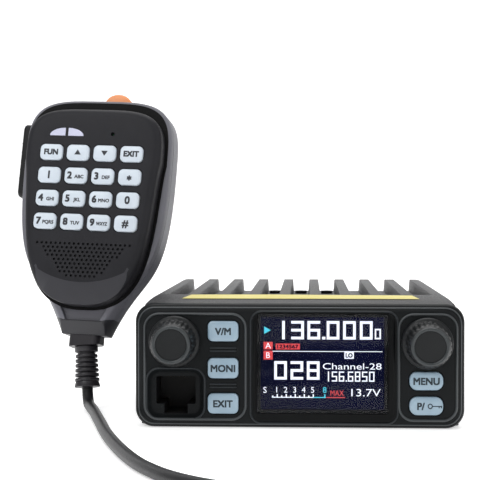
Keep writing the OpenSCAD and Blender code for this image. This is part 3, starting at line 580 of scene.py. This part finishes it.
button_holes = [
    plate("hole_" + name, size, corner, at, hole_layers)
    for name, (at, size, corner, _) in BUTTONS.items()
]
knob_wells = [
    turned("well", [(4.2, BEHIND), (4.2, BEFORE)], at, steps=48) for at in (VOLUME_AT, CHANNEL_AT)
]
cut(panel, [window_seat, jack_recess, jack_slot, latch_slot, *button_holes, *knob_wells])
cut(raised_bezel, [plate("bezel_hole", (39.0, 29.7), 0.8, SCREEN_AT, [(0, -58), (0, -62)])])
cut(panel, [plate("cavity", (93, 32), 3.5, PANEL_MID, [(0, -50), (0, -56.5)])])
cut(panel, [plate("screen_hole", (36.9, 27.8), 0.5, SCREEN_AT, [(0, BEHIND), (0, -59)])])
finish(panel, "radio", "panel", ["front_panel"])
finish(raised_bezel, "radio", "bezel")
# The raised outlines take lighter copies of the panel black, as painted highlights.
RIDGES = [  # name, centre, size, corner radius, depth, rise, width and material
    ("ridge_left", (-30.95, 18.3), (30.1, 31.4), 4.2, PANEL_Y, 0.42, 0.8, "panel_edge"),
    ("ridge_right", (38.0, 18.3), (17, 31.4), 4.2, PANEL_Y, 0.42, 0.8, "panel_edge"),
    ("ridge_bezel", BEZEL_AT, (43.6, 33.2), 3.2, PANEL_Y, 0.3, 0.6, "ridge"),
    ("ridge_jack", JACK_AT, (17.4, 15.2), 3.8, PANEL_Y, 0.35, 0.7, "ridge"),
    ("ridge_rim", PANEL_MID, (95.6, 34.6), 4.7, -58.25, 0.3, 0.5, "panel_edge"),
]
for *ridge, material in RIDGES:
    finish(frame_line(*ridge), "radio", material)
# Pairs of raised bars between the left buttons, painted lighter as a highlight.
for i, z in enumerate((23.9, 23.0, 13.1, 12.2)):
    layers = [(0, -58.8), (0, -59.2), (-0.1, -59.35)]
    bar = plate(f"bar_{i}", (8, 0.5), 0.24, (-22.6, z), layers, steps=4)
    finish(bar, "radio", "ridge")

# ---------------------------------------------------------------- display

SCREEN_SIZE = (35.7, 26.6)
SCREEN_Y = -58.42
LIT_Y = (SCREEN_Y - 0.02, SCREEN_Y - 0.05)  # back and front of what shows on the display
UNIT = SCREEN_SIZE[0] / 870
backing_layers = [(0, -58.3), (0, SCREEN_Y)]
backing = plate("screen_backing", SCREEN_SIZE, 0.3, SCREEN_AT, backing_layers, steps=3)
finish(backing, "radio", "screen")


def on_screen(u, v):
    """A point of the display, where u is 0 to 870 across and v 0 to 660 down."""
    left = SCREEN_AT[0] - SCREEN_SIZE[0] / 2
    top = SCREEN_AT[1] + SCREEN_SIZE[1] / 2
    return (left + u * UNIT, top - v * UNIT)


def box(left, top, right, bottom):
    """The corners of a box on the display."""
    corners = [(left, bottom), (right, bottom), (right, top), (left, top)]
    return [on_screen(u, v) for u, v in corners]


def mark(name, outline, material):
    """A flat shape on the display."""
    finish(facing(name, [(outline, y) for y in LIT_Y]), "radio", material)


SEGMENTS = {
    "0": "abcdef", "1": "bc", "2": "abged", "3": "abgcd", "4": "fgbc", "5": "afgcd",
    "6": "afgedc", "7": "abc", "8": "abcdefg", "9": "abcdfg",
}


def digits(name, text, starts, v, width, height, thick):
    """Digits of square segments as one piece. starts holds where each character begins."""
    boxes = []
    for character, u in zip(text, starts):
        if character == ".":
            boxes.append((u, v + height - thick, u + thick * 1.2, v + height))
            continue
        mid = v + height / 2
        places = {
            "a": (u, v, u + width, v + thick),
            "g": (u, mid - thick / 2, u + width, mid + thick / 2),
            "d": (u, v + height - thick, u + width, v + height),
            "f": (u, v, u + thick, mid),
            "b": (u + width - thick, v, u + width, mid),
            "e": (u, mid, u + thick, v + height),
            "c": (u + width - thick, mid, u + width, v + height),
        }
        boxes += [places[segment] for segment in SEGMENTS[character]]
    parts = []
    for k, corners in enumerate(boxes):
        # Segments that overlap end at slightly different depths
        depths = (LIT_Y[0], LIT_Y[1] - 0.002 * (k % 7))
        parts.append(facing(f"{name}_{k}", [(box(*corners), y) for y in depths]))
    finish(join(name, parts), "radio", "white_glow")


def screen_text(name, text, height, u, v, material, width=None, weight=0.0):
    """Text on the display, in its units, stretched to width."""
    wide = width * UNIT if width else None
    piece = lettering(
        name, text, height * UNIT, on_screen(u, v), SCREEN_Y - 0.06,
        width=wide, thick=0.015, weight=weight, stretch=True,
    )
    finish(piece, "radio", material)


digits("readout_upper", "136.000", (72, 210, 327, 433, 466, 584, 705), 15, 92, 134, 20)
digits("readout_small", "0", (812,), 70, 45, 76, 11)
digits("readout_lower", "028", (87, 205, 323), 307, 92, 134, 20)
frequency_starts = (445, 503, 554, 603, 619, 670, 721, 772)
digits("readout_frequency", "156.6850", frequency_starts, 380, 39, 73, 9)
mark("marker", [on_screen(62, 83), on_screen(14, 110), on_screen(14, 56)], "cyan_glow")
TAGS = [
    ("tag_a", (10, 168, 76, 222), "red_glow"),
    ("tag_b", (10, 232, 76, 296), "red_glow"),
    ("tag_tone", (98, 180, 272, 222), "red_glow"),
    ("divider", (76, 233, 868, 238), "white_glow"),
    ("tag_power", (594, 238, 662, 288), "white_glow"),
]
for name, corners, material in TAGS:
    mark(name, box(*corners), material)
screen_text("letter_a", "A", 42, 43, 194, "white_glow")
screen_text("letter_b", "B", 42, 43, 264, "white_glow")
screen_text("tone_text", "1234567", 26, 185, 201, "screen", width=150, weight=0.12)
screen_text("power_text", "LO", 30, 628, 263, "screen", width=48, weight=0.14)
screen_text("channel_name", "Channel-28", 46, 650, 342, "white_glow", width=424)
screen_text("meter_name", "S", 44, 20, 516, "white_glow")
for i, (text, u) in enumerate(zip("123458", (105, 170, 235, 300, 365, 452))):
    screen_text(f"meter_{i}", text, 42, u, 514, "cyan_glow" if text == "8" else "white_glow")
screen_text("meter_max", "MAX", 40, 542, 536, "red_glow", width=96)
screen_text("voltage", "13.7V", 54, 750, 532, "white_glow", width=212)
METER = [
    ("meter_line", (70, 566, 366, 572), "white_glow"),
    ("meter_line_mid", (366, 566, 460, 572), "cyan_glow"),
    ("meter_line_end", (460, 566, 600, 572), "red_glow"),
]
for i in range(10):
    u, tall = 72 + i * 32.6, 22 if i % 2 else 12
    METER.append((f"tick_{i}", (u, 568 - tall, u + 9, 568), "white_glow"))
METER.append(("tick_end", (449, 546, 458, 568), "cyan_glow"))
for name, corners, material in METER:
    mark(name, box(*corners), material)
nodes["display_window"].data.materials.clear()
nodes["display_window"].data.materials.append(window_glass)

# ---------------------------------------------------------------- knobs and buttons


def knob(name, body, at, stands_for):
    """A skirted knob with fluted sides, a front ring painted lighter as a highlight and a dished face."""

    def flutes(a, i):
        return 0.32 * (0.5 + 0.5 * math.cos(24 * a)) ** 2 if 5 <= i <= 8 else 0

    skirt_profile = [
        (7.2, -59.62), (7.6, -59.9), (7.6, -61.4), (7.35, -61.9), (6.75, -62.1), (6.45, -62.6),
        (6.4, -64), (6.35, -68.5), (6.2, -70.4), (5.95, -71.0), (5.6, -71.5),
    ]
    ring_profile = [
        (5.62, -71.3), (5.55, -71.75), (5.3, -72), (4.95, -72), (4.6, -71.8), (4.5, -71.3),
    ]
    dish_profile = [(4.65, -71.2), (4.6, -71.55), (4.1, -71.42), (2.5, -71.3), (0.6, -71.26)]
    dot_profile = [(0.42, -71.2), (0.4, -71.34), (0.2, -71.38)]
    skirt = turned(name + "_body", skirt_profile, at, flutes, steps=192, sharp=50)
    finish(skirt, body, "knob", [stands_for])
    # The ring and the centre dot take a lighter copy of the knob black: painted highlight.
    ring = turned(name + "_ring", ring_profile, at, sharp=50)
    finish(ring, body, "knob_rim_highlight")
    dish = turned(name + "_dish", dish_profile, at, sharp=50)
    finish(dish, body, "knob_face")
    dot = turned(name + "_dot", dot_profile, (at[0] - 0.2, at[1] + 0.2), steps=24)
    finish(dot, body, "knob_rim_highlight")


knob("volume_cap", "volume", VOLUME_AT, "volume_knob")
knob("channel_cap", "channel", CHANNEL_AT, "channel_knob")

CAP_Y = -60
for name, (at, size, corner, text) in BUTTONS.items():
    body = "button_" + name
    layers = []
    for inset, depth in [(0, -57), (0, -59.55), (0.12, -59.8), (0.45, -59.96), (1.2, CAP_Y)]:
        width, height = size[0] - 2 * inset, size[1] - 2 * inset
        layers.append((round_rect(width, height, min(corner, height / 2 - 0.05), at, 10), depth))
    cap = facing("cap_" + name, layers, sharp=50)
    finish(cap, body, "button", [body])
    spot = (at[0] - 1.6, at[1]) if name == "lock" else at
    legend = lettering(
        "legend_" + name, text, 2.0, spot, CAP_Y, width=size[0] - 2.0, thick=0.03, weight=0.2
    )
    finish(legend, body, "legend")

# The key on the lock button: a ring, a shaft and two teeth
SYMBOL_Y = (-59.95, -60.03)
symbol_turns = [2 * math.pi * k / 24 for k in range(24)]
symbol_rings = []
for r, y in [(0.75, SYMBOL_Y[0]), (0.75, SYMBOL_Y[1]), (0.45, SYMBOL_Y[1]), (0.45, SYMBOL_Y[0])]:
    ring = [(38.6 + math.cos(a) * r, y, 7.0 + math.sin(a) * r * 1.1) for a in symbol_turns]
    symbol_rings.append(ring)
symbol = [loft("key_symbol_ring", symbol_rings, closed=True)]
symbol_layers = [(0, SYMBOL_Y[0]), (0, SYMBOL_Y[1])]
for i, (at, size) in enumerate(
    [((40.7, 7.0), (2.8, 0.26)), ((41.2, 6.75), (0.28, 0.6)), ((41.9, 6.75), (0.28, 0.6))]
):
    symbol.append(plate(f"key_symbol_{i}", size, 0.1, at, symbol_layers, steps=2))
for piece in symbol:
    finish(piece, "button_lock", "legend")

# ---------------------------------------------------------------- hand microphone

# Its own frame has x to the right, y to the back and z up, with its origin under the shell
HANGER_AT = (21, 46)
joints = {joint["name"]: joint for joint in frame["joints"]}
mounts = {mount["name"]: mount for mount in frame["record"]["mounts"]}
mic_x = Vector(joints["ptt_press"]["axis"]).normalized()
mic_y = Vector(joints["press_key_1"]["axis"]).normalized()
mic_z = -Vector(joints["mic_top_press"]["axis"]).normalized()
hanger = Vector(mounts["mic_hanger"]["pos_m"])
mic_origin = hanger - mic_y * HANGER_AT[0] * MM - mic_z * HANGER_AT[1] * MM
MIC = Matrix.Translation(mic_origin) @ Matrix((mic_x, mic_y, mic_z)).transposed().to_4x4()
MID_Z = 56  # where the crown ends and the flanks begin


def bezier(a, b, c, d, steps):
    """Points of a cubic curve in a plane."""
    points = []
    for i in range(steps + 1):
        t = i / steps
        s = 1 - t
        weights = (s**3, 3 * s * s * t, 3 * s * t * t, t**3)
        points.append(
            tuple(sum(w * p[k] for w, p in zip(weights, (a, b, c, d))) for k in (0, 1))
        )
    return points


def mic_shape(half, top, flank, steps=40):
    """An outline of the microphone: a squarish crown over two mirrored flanks.

    It starts at the right of the crown. flank holds the control points of the right one.
    """
    crown = []
    for i in range(steps + 1):
        a = math.pi * i / steps
        c, s = math.cos(a), math.sin(a)
        x = half * math.copysign(abs(c) ** 0.5, c)
        crown.append((x, MID_Z + (top - MID_Z) * abs(s) ** 0.5))
    right = bezier(*flank, steps)
    left = [(-x, z) for x, z in right]
    bottom = right[::-1]
    meets = abs(right[-1][0]) < 0.01
    return crown + left[1:] + (bottom[1:-1] if meets else bottom[:-1])


def mic_outline(inset, foot):
    """The shell's outline, whose level foot is at height foot."""
    half, top = 24.9 - inset, 77.8 - inset
    flank = [(half, MID_Z), (half, 15), (17.4 - inset, 24), (7.3 - inset / 2, foot)]
    return mic_shape(half, top, flank)


def face_outline(inset):
    """The front cover's outline."""
    half, top = 22.9 - inset, 73.4 - inset
    flank = [
        (half, MID_Z), (19.8 - inset, 37.6), (23.6 - 1.3 * inset, 7.4 + inset), (0, 8.5 + inset),
    ]
    return mic_shape(half, top, flank)


# The shell: a band round the face, a crescent under it and a rounded back
SHELL = [  # depth, inset and foot
    (-0.8, 3.4, 4.3), (-2.3, 3.2, 4.3), (-2.5, 2.9, 4.2), (-2.5, 0.9, 4.0), (-2.2, 0.3, 3.4),
    (-1.6, 0, 2.6), (0.6, 0, 0), (7.6, 0, 0), (9.2, 0.35, 0.1), (11.2, 1.1, 0.5), (13.2, 2.1, 1.2),
    (15.0, 3.4, 2.4), (16.4, 5.2, 4.2), (17.0, 7.6, 6.6),
]
SHELL_LAYERS = [(mic_outline(inset, foot), depth) for depth, inset, foot in SHELL]
shell = facing("mic_shell", SHELL_LAYERS, MIC, sharp=50)
seam_rings = []
for inset, depth in [(-0.2, 0.75), (-0.2, 1.15), (0.35, 1.15), (0.35, 0.75)]:
    seam_rings.append([(x, depth, z) for x, z in mic_outline(inset, 0.2 - inset)])
seam = loft("mic_seam_cut", seam_rings, MIC, closed=True)
stud_profile = [(5.75, 16.2), (5.75, 18.5)]
stud_clear = turned("stud_clear", stud_profile, (0, HANGER_AT[1]), steps=48, place=MIC)
screw_profile = [(2.2, 15.2), (2.2, 18.5)]
screw_wells = [
    turned("screw_well", screw_profile, at, steps=32, place=MIC)
    for at in ((16, 66.5), (-16, 66.5), (7.5, 13), (-7.5, 13))
]
cut(shell, [seam, stud_clear, *screw_wells])
finish(shell, "microphone", "shell", ["mic_back_cover"])

# The shell's neck is darker, below a line that is level in the middle and rises at both sides
NECK_Z = 4.3
NECK_RISE = 0.28
NECK_LEVEL = 6.5  # half width of the level part
shell.data.materials.append(MATERIALS["neck"])
shape = bmesh.new()
shape.from_mesh(shell.data)
for slope, x in ((0, 0), (-NECK_RISE, NECK_LEVEL), (NECK_RISE, -NECK_LEVEL)):
    everything = shape.verts[:] + shape.edges[:] + shape.faces[:]
    at = Vector((x, 0, NECK_Z)) * MM
    across = (slope, 0, 1)
    bmesh.ops.bisect_plane(shape, geom=everything, plane_co=at, plane_no=across, dist=1e-8)
for face in shape.faces:
    centre = face.calc_center_median() / MM
    if centre.z < NECK_Z + NECK_RISE * max(0, abs(centre.x) - NECK_LEVEL):
        face.material_index = 1
shape.to_mesh(shell.data)
shape.free()

# The front cover: a flat face with a bevel, over a near-black sheet that shows as a gap round it: painted shade in
# the groove
COVER = [(0, -2.5), (0, -7.2), (0.25, -7.9), (0.9, -8.5), (1.7, -8.9), (2.4, -9.0)]
cover_layers = [(face_outline(inset), depth) for inset, depth in COVER]
cover = facing("mic_cover", cover_layers, MIC, sharp=25)
CROWN_STRETCH = 1.136  # the gap is wider over the crown
recess_edge = [
    (x, z if z < MID_Z else MID_Z + (z - MID_Z) * CROWN_STRETCH) for x, z in face_outline(-1.0)
]
recess = facing("mic_gap_shade", [(recess_edge, -2.35), (recess_edge, -2.62)], MIC)
finish(recess, "microphone", "groove")
neck_rings = []
for half, depth, z in (
    (7.15, 0.42, 0.12), (6.95, -1.62, 2.6), (6.8, -2.2, 3.4), (6.6, -2.56, 3.95),
):
    back, front, low = depth + 0.3, depth - 0.08, z - 0.05
    neck_rings.append([(-half, back, z), (half, back, z), (half, front, low), (-half, front, low)])
finish(loft("mic_neck_front", neck_rings, MIC), "microphone", "neck")

KEYS = [  # name, main legend and small legend, in rows of four
    ("fun", "FUN", ""), ("up", "", ""), ("down", "", ""), ("exit", "EXIT", ""),
    ("1", "1", ""), ("2", "2", "ABC"), ("3", "3", "DEF"), ("star", "*", ""),
    ("4", "4", "GHI"), ("5", "5", "JKL"), ("6", "6", "MNO"), ("0", "0", ""),
    ("7", "7", "PQRS"), ("8", "8", "TUV"), ("9", "9", "WXYZ"), ("hash", "#", ""),
]
KEY_SIZE = (7.6, 5.3)
KEY_CORNER = 1.6
KEY_PITCH = (9.02, 7.67)
KEY_TOP = 58.2


def key_at(i):
    """The middle of key i."""
    return ((i % 4 - 1.5) * KEY_PITCH[0], KEY_TOP - (i // 4) * KEY_PITCH[1])


def lamp_outline(side, grow=0.0):
    """A quarter ellipse: a lamp is highest beside the middle of the microphone."""
    inner = -9.5 if side < 0 else -8.5
    wide, high, foot = 5.2 + grow, 2.6 + grow, 63.9
    turns = [math.pi / 2 * k / 12 for k in range(13)]
    points = [(inner + side * wide * math.cos(a), foot + high * math.sin(a)) for a in turns]
    return points + [(inner - side * grow, foot - grow), (inner + side * wide, foot - grow)]


key_hole_layers = [(0.15, -6), (0.15, -8.8), (0.5, -9.1), (0.5, -10)]
key_holes = [
    plate(f"key_hole_{i}", KEY_SIZE, KEY_CORNER, key_at(i), key_hole_layers, MIC)
    for i in range(len(KEYS))
]
lamp_holes = [
    facing(f"lamp_hole_{side}", [(lamp_outline(side, 0.1), y) for y in (-7, -10)], MIC)
    for side in (-1, 1)
]
sound_profile = [(0.6, -7), (0.6, -8.8), (0.75, -9.2), (0.75, -10)]
sound_hole = turned("sound_hole", sound_profile, (6.5, 64.8), steps=24, place=MIC)

# The speaker's dots, in rows that grow shorter downwards and are staggered
DOT_PITCH = (1.55, 1.31)
dot_profile = [(0.42, -8.3), (0.42, -8.9), (0.5, -9.3)]
dots = []
for row in range(9):
    z = 28.1 - row * DOT_PITCH[1]
    half_width = 15.6 - row * 1.2
    count = int(half_width * 2 / DOT_PITCH[0])
    if (count + row) % 2 == 0:
        count += 1
    for k in range(count):
        at = ((k - (count - 1) / 2) * DOT_PITCH[0], z)
        dots.append(turned(f"dot_{row}_{k}", dot_profile, at, steps=10, place=MIC))
dots = join("dots", dots)

# The chin slopes back below an arc
CHIN_MID_Z = 45.2
chin_profile = [(29.0, -9.12), (38.5, -7.1), (38.5, -10), (29.0, -10)]
chin_rings = []
for k in range(41):
    a = math.radians(205 + 130 * k / 40)
    ring = [(r * math.cos(a), y, CHIN_MID_Z + r * math.sin(a)) for r, y in chin_profile]
    chin_rings.append(ring)
chin = loft("chin", chin_rings, MIC)
cut(cover, [*key_holes, *lamp_holes, sound_hole, chin])
cut(cover, [dots])
finish(cover, "microphone", "face", ["mic_front_cover"])
# Faces of the lower cover that point forward and a little down take the lighter chin colour: a painted reflection
# of the floor.
cover.data.materials.append(MATERIALS["chin"])
for polygon in cover.data.polygons:
    way = polygon.normal
    if polygon.center.z < 21 * MM and way.z < -0.02 and way.y < -0.93:
        polygon.material_index = 1
for side, name in ((-1, "lamp_left"), (1, "lamp_right")):
    lamp = facing(name, [(lamp_outline(side), y) for y in (-7.2, -9.1)], MIC)
    finish(lamp, "microphone", "lamp")

KEY_Y = -9.8
key_layers = [(0, -7.4), (0, -9.3), (-0.12, -9.6), (-0.4, -9.75), (-0.9, KEY_Y)]
for i, (name, main, small) in enumerate(KEYS):
    x, z = key_at(i)
    body = "key_" + name
    cap = plate(
        "cap_" + body, KEY_SIZE, KEY_CORNER, (x, z), key_layers, MIC, rounding=0.5, sharp=60
    )
    finish(cap, body, "key", [body])
    if name in ("up", "down"):
        way = 1 if name == "up" else -1
        arrow = [(x - 1.1, z - 0.75 * way), (x + 1.1, z - 0.75 * way), (x, z + 0.95 * way)]
        legend = facing("mark_" + body, [(arrow, y) for y in (-9.76, -9.83)], MIC)
        finish(legend, body, "key_legend")
        continue
    size, at, width, weight = (1.75 if len(main) > 1 else 2.4), (x, z), 5.4, 0.25
    if small:
        size, at, width, weight = 2.2, (x - 2.0, z), None, 0.28
    elif main == "*":
        at = (x, z - 0.9)
    legend = lettering(
        "mark_" + body, main, size, at, KEY_Y, MIC, width=width, thick=0.03, weight=weight
    )
    finish(legend, body, "key_legend")
    if small:
        letters = lettering(
            "letters_" + body, small, 1.1, (x + 1.2, z - 0.4), KEY_Y, MIC,
            width=3.6, thick=0.03, weight=0.12,
        )
        finish(letters, body, "key_legend")

# The push-to-talk pad faces left, so its outlines hold (y, z) points
PTT_AT = (3.75, 57.5)
ptt_rings = []
for inset, x in [(0.5, -22.6), (0, -23.2), (0, -26.6), (0.35, -27.25), (1.0, -27.6), (1.8, -27.7)]:
    corner = max(1.6 - inset * 0.5, 0.4)
    outline = round_rect(6.5 - 2 * inset, 25 - 2 * inset, corner, PTT_AT)
    ptt_rings.append([(x, y, z) for y, z in outline])
finish(loft("ptt_pad", ptt_rings, MIC, sharp=50), "ptt", "dark", ["ptt_button"])
for k in range(5):
    rib_rings = []
    for x, high in [(-27.2, 0.9), (-27.6, 0.9), (-27.7, 0.5)]:
        outline = round_rect(4.4, high, high * 0.45, (PTT_AT[0], 51.5 + k * 3), 4)
        rib_rings.append([(x, y, z) for y, z in outline])
    rib = loft(f"ptt_rib_{k}", rib_rings, MIC, sharp=60)
    finish(rib, "ptt", "knob")

# The orange button: a dome over a straight foot
dome = []
for i in range(13):
    a = math.pi * i / 12
    dome.append((4.2 + 4.7 * math.cos(a), 76.6 + 4.8 * math.sin(a) ** 0.8))
top_outline = [(8.9, 74.2), *dome, (-0.5, 74.2)]
top_button = facing("top_button", [(top_outline, y) for y in (1.8, 6.9)], MIC)
bevel = top_button.modifiers.new("round", "BEVEL")
bevel.width = 0.6 * MM
bevel.segments = 3
apply(top_button, 50)
finish(top_button, "mic_top", "orange", ["mic_top_button"])

# Strain relief: a collar, ribs on a core and a tapered end, along the gland's direction
RELIEF_AT = Vector((0, 5, -3.4)) * MM
RELIEF_TILT = Matrix.Rotation(math.radians(-7), 4, "Y")
CORE_R = 2.9
relief_profile = [(3.5, 0), (3.8, 0.25), (3.8, 1.8), (3.6, 2.0), (CORE_R, 2.1)]
for k in range(6):
    s = 2.8 + 1.55 * k
    r = 3.6 + 0.08 * k
    relief_profile += [
        (CORE_R, s - 0.1), (r - 0.15, s), (r, s + 0.15), (r, s + 0.85), (r - 0.15, s + 1),
        (CORE_R, s + 1.1),
    ]
relief_profile += [(CORE_R, 11.6), (3.8, 11.7), (4.2, 13.1), (4.1, 13.4), (3.2, 13.5)]
relief_turns = [2 * math.pi * k / 48 for k in range(48)]
relief_rings = [
    [(r * math.cos(a), r * math.sin(a), -s) for a in relief_turns] for r, s in relief_profile
]
relief_place = MIC @ Matrix.Translation(RELIEF_AT) @ RELIEF_TILT
relief = loft("strain_relief", relief_rings, relief_place, sharp=50)
finish(relief, "microphone", "rubber", ["mic_strain_relief"])

# ---------------------------------------------------------------- CAD nodes that stay

KEPT = {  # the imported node's material, and what stands for it here
    "cast_aluminium": "cast", "cover_sheet": "sheet", "panel_plastic": "panel",
    "black_plastic": "dark", "gold_contacts": "gold", "circuit_board": "board",
    "steel": "steel", "speaker_black": "dark", "nickel": "nickel", "black_steel": "blackened",
    "knob_plastic": "knob", "button_plastic": "button", "key_plastic": "key",
    "silicone": "silicone", "mic_face": "face", "mic_shell": "neck",
    "indicator_plastic": "lamp", "orange_plastic": "orange", "relief_rubber": "rubber",
    "cord_jacket": "jacket", "clear_plastic": "clear", "display": "screen",
}
for name, piece in nodes.items():
    if name == "display_window":
        continue
    choice = KEPT[piece.data.materials[0].name.split(".")[0]]
    piece.data.materials.clear()
    piece.data.materials.append(MATERIALS[choice])

# The chassis stands in for its node, with its edges rounded
CHASSIS_BEVEL = 0.5
shape = bmesh.new()
shape.from_mesh(nodes["chassis"].data)
bmesh.ops.remove_doubles(shape, verts=shape.verts, dist=1e-6)
bmesh.ops.dissolve_limit(
    shape, angle_limit=math.radians(1), verts=shape.verts, edges=shape.edges
)
mesh = bpy.data.meshes.new("chassis_fine")
shape.to_mesh(mesh)
shape.free()
chassis = bpy.data.objects.new("chassis_fine", mesh)
chassis.matrix_world = nodes["chassis"].matrix_world
bpy.context.scene.collection.objects.link(chassis)
bevel = chassis.modifiers.new("bevel", "BEVEL")
bevel.width = CHASSIS_BEVEL * MM
bevel.segments = 2
bevel.limit_method = "ANGLE"
bevel.angle_limit = math.radians(40)
apply(chassis, 40)
finish(chassis, "radio", "cast", ["chassis"])

# A pale strip of print on the slope behind the front panel
SLOPE_Y, SLOPE_Z = -51, 36.6
SLOPE = (38.8 - 36.6) / 11.5
strip_edge = [(-36, -45.2), (36.5, -45.2), (34.5, -41), (9, -40.6), (-9, -40.2), (-33.5, -40.6)]
strip_points = []
for lift in (0.02, 0.09):
    for x, y in strip_edge:
        strip_points.append((x, y, SLOPE_Z + (y - SLOPE_Y) * SLOPE + lift))
strip_faces = [tuple(range(6)), tuple(range(6, 12))]
strip_faces += [(i, (i + 1) % 6, 6 + (i + 1) % 6, 6 + i) for i in range(6)]
strip = add_mesh("slope_strip", strip_points, strip_faces)
finish(strip, "radio", "strip")

# ---------------------------------------------------------------- floor, lights and world

# The floor runs back and then curves up, along (y, z) points in metres
BEND_Y = 1.2
BEND_R = 0.8
backdrop = [(-2.2, 0), (BEND_Y, 0)]
for k in range(1, 17):
    a = math.pi / 2 * k / 16
    backdrop.append((BEND_Y + BEND_R * math.sin(a), BEND_R - BEND_R * math.cos(a)))
backdrop.append((2.0, 3.5))
floor_points = []
for y, z in backdrop:
    # A hair below the object's feet
    floor_points += [(-3000, y * 1000, z * 1000 - 0.02), (3000, y * 1000, z * 1000 - 0.02)]
floor_faces = [(2 * i, 2 * i + 1, 2 * i + 3, 2 * i + 2) for i in range(len(backdrop) - 1)]
floor = add_mesh("floor", floor_points, floor_faces, sharp=80)
paper = surface(
    "floor_paper", "fafafa", "ffffff", rough=(0.8, 0.9), grain=300, bump=0.02, mottle=2, glow=0.45
)
floor.data.materials.append(paper)

# The sky lights the object softly, and is as white as the floor where it shows
world = bpy.data.worlds.new("studio")
bpy.context.scene.world = world
world.use_nodes = True
sky_nodes = world.node_tree.nodes
sky = sky_nodes["Background"]
sky.inputs["Color"].default_value = (1, 1, 1, 1)
sky_seen = sky_nodes.new("ShaderNodeLightPath")
sky_strength = sky_nodes.new("ShaderNodeMapRange")
sky_strength.inputs["To Min"].default_value = 0.45
sky_strength.inputs["To Max"].default_value = 1.0
sky_links = world.node_tree.links
sky_links.new(sky_seen.outputs["Is Camera Ray"], sky_strength.inputs["Value"])
sky_links.new(sky_strength.outputs["Result"], sky.inputs["Strength"])
LIGHTS = [  # name, place, side of the square and watts
    ("key", (-0.55, -0.75, 0.9), 0.7, 5),
    ("fill", (0.7, -0.7, 0.55), 0.8, 2),
    ("top", (0.0, 0.25, 1.1), 0.9, 6),
]
AIM = Vector((0, 0, 0.03))
for name, place, size, power in LIGHTS:
    lamp = bpy.data.objects.new(name, bpy.data.lights.new(name, "AREA"))
    lamp.data.size = size
    lamp.data.energy = power
    lamp.location = place
    lamp.rotation_euler = (AIM - Vector(place)).to_track_quat("-Z", "Y").to_euler()
    bpy.context.scene.collection.objects.link(lamp)
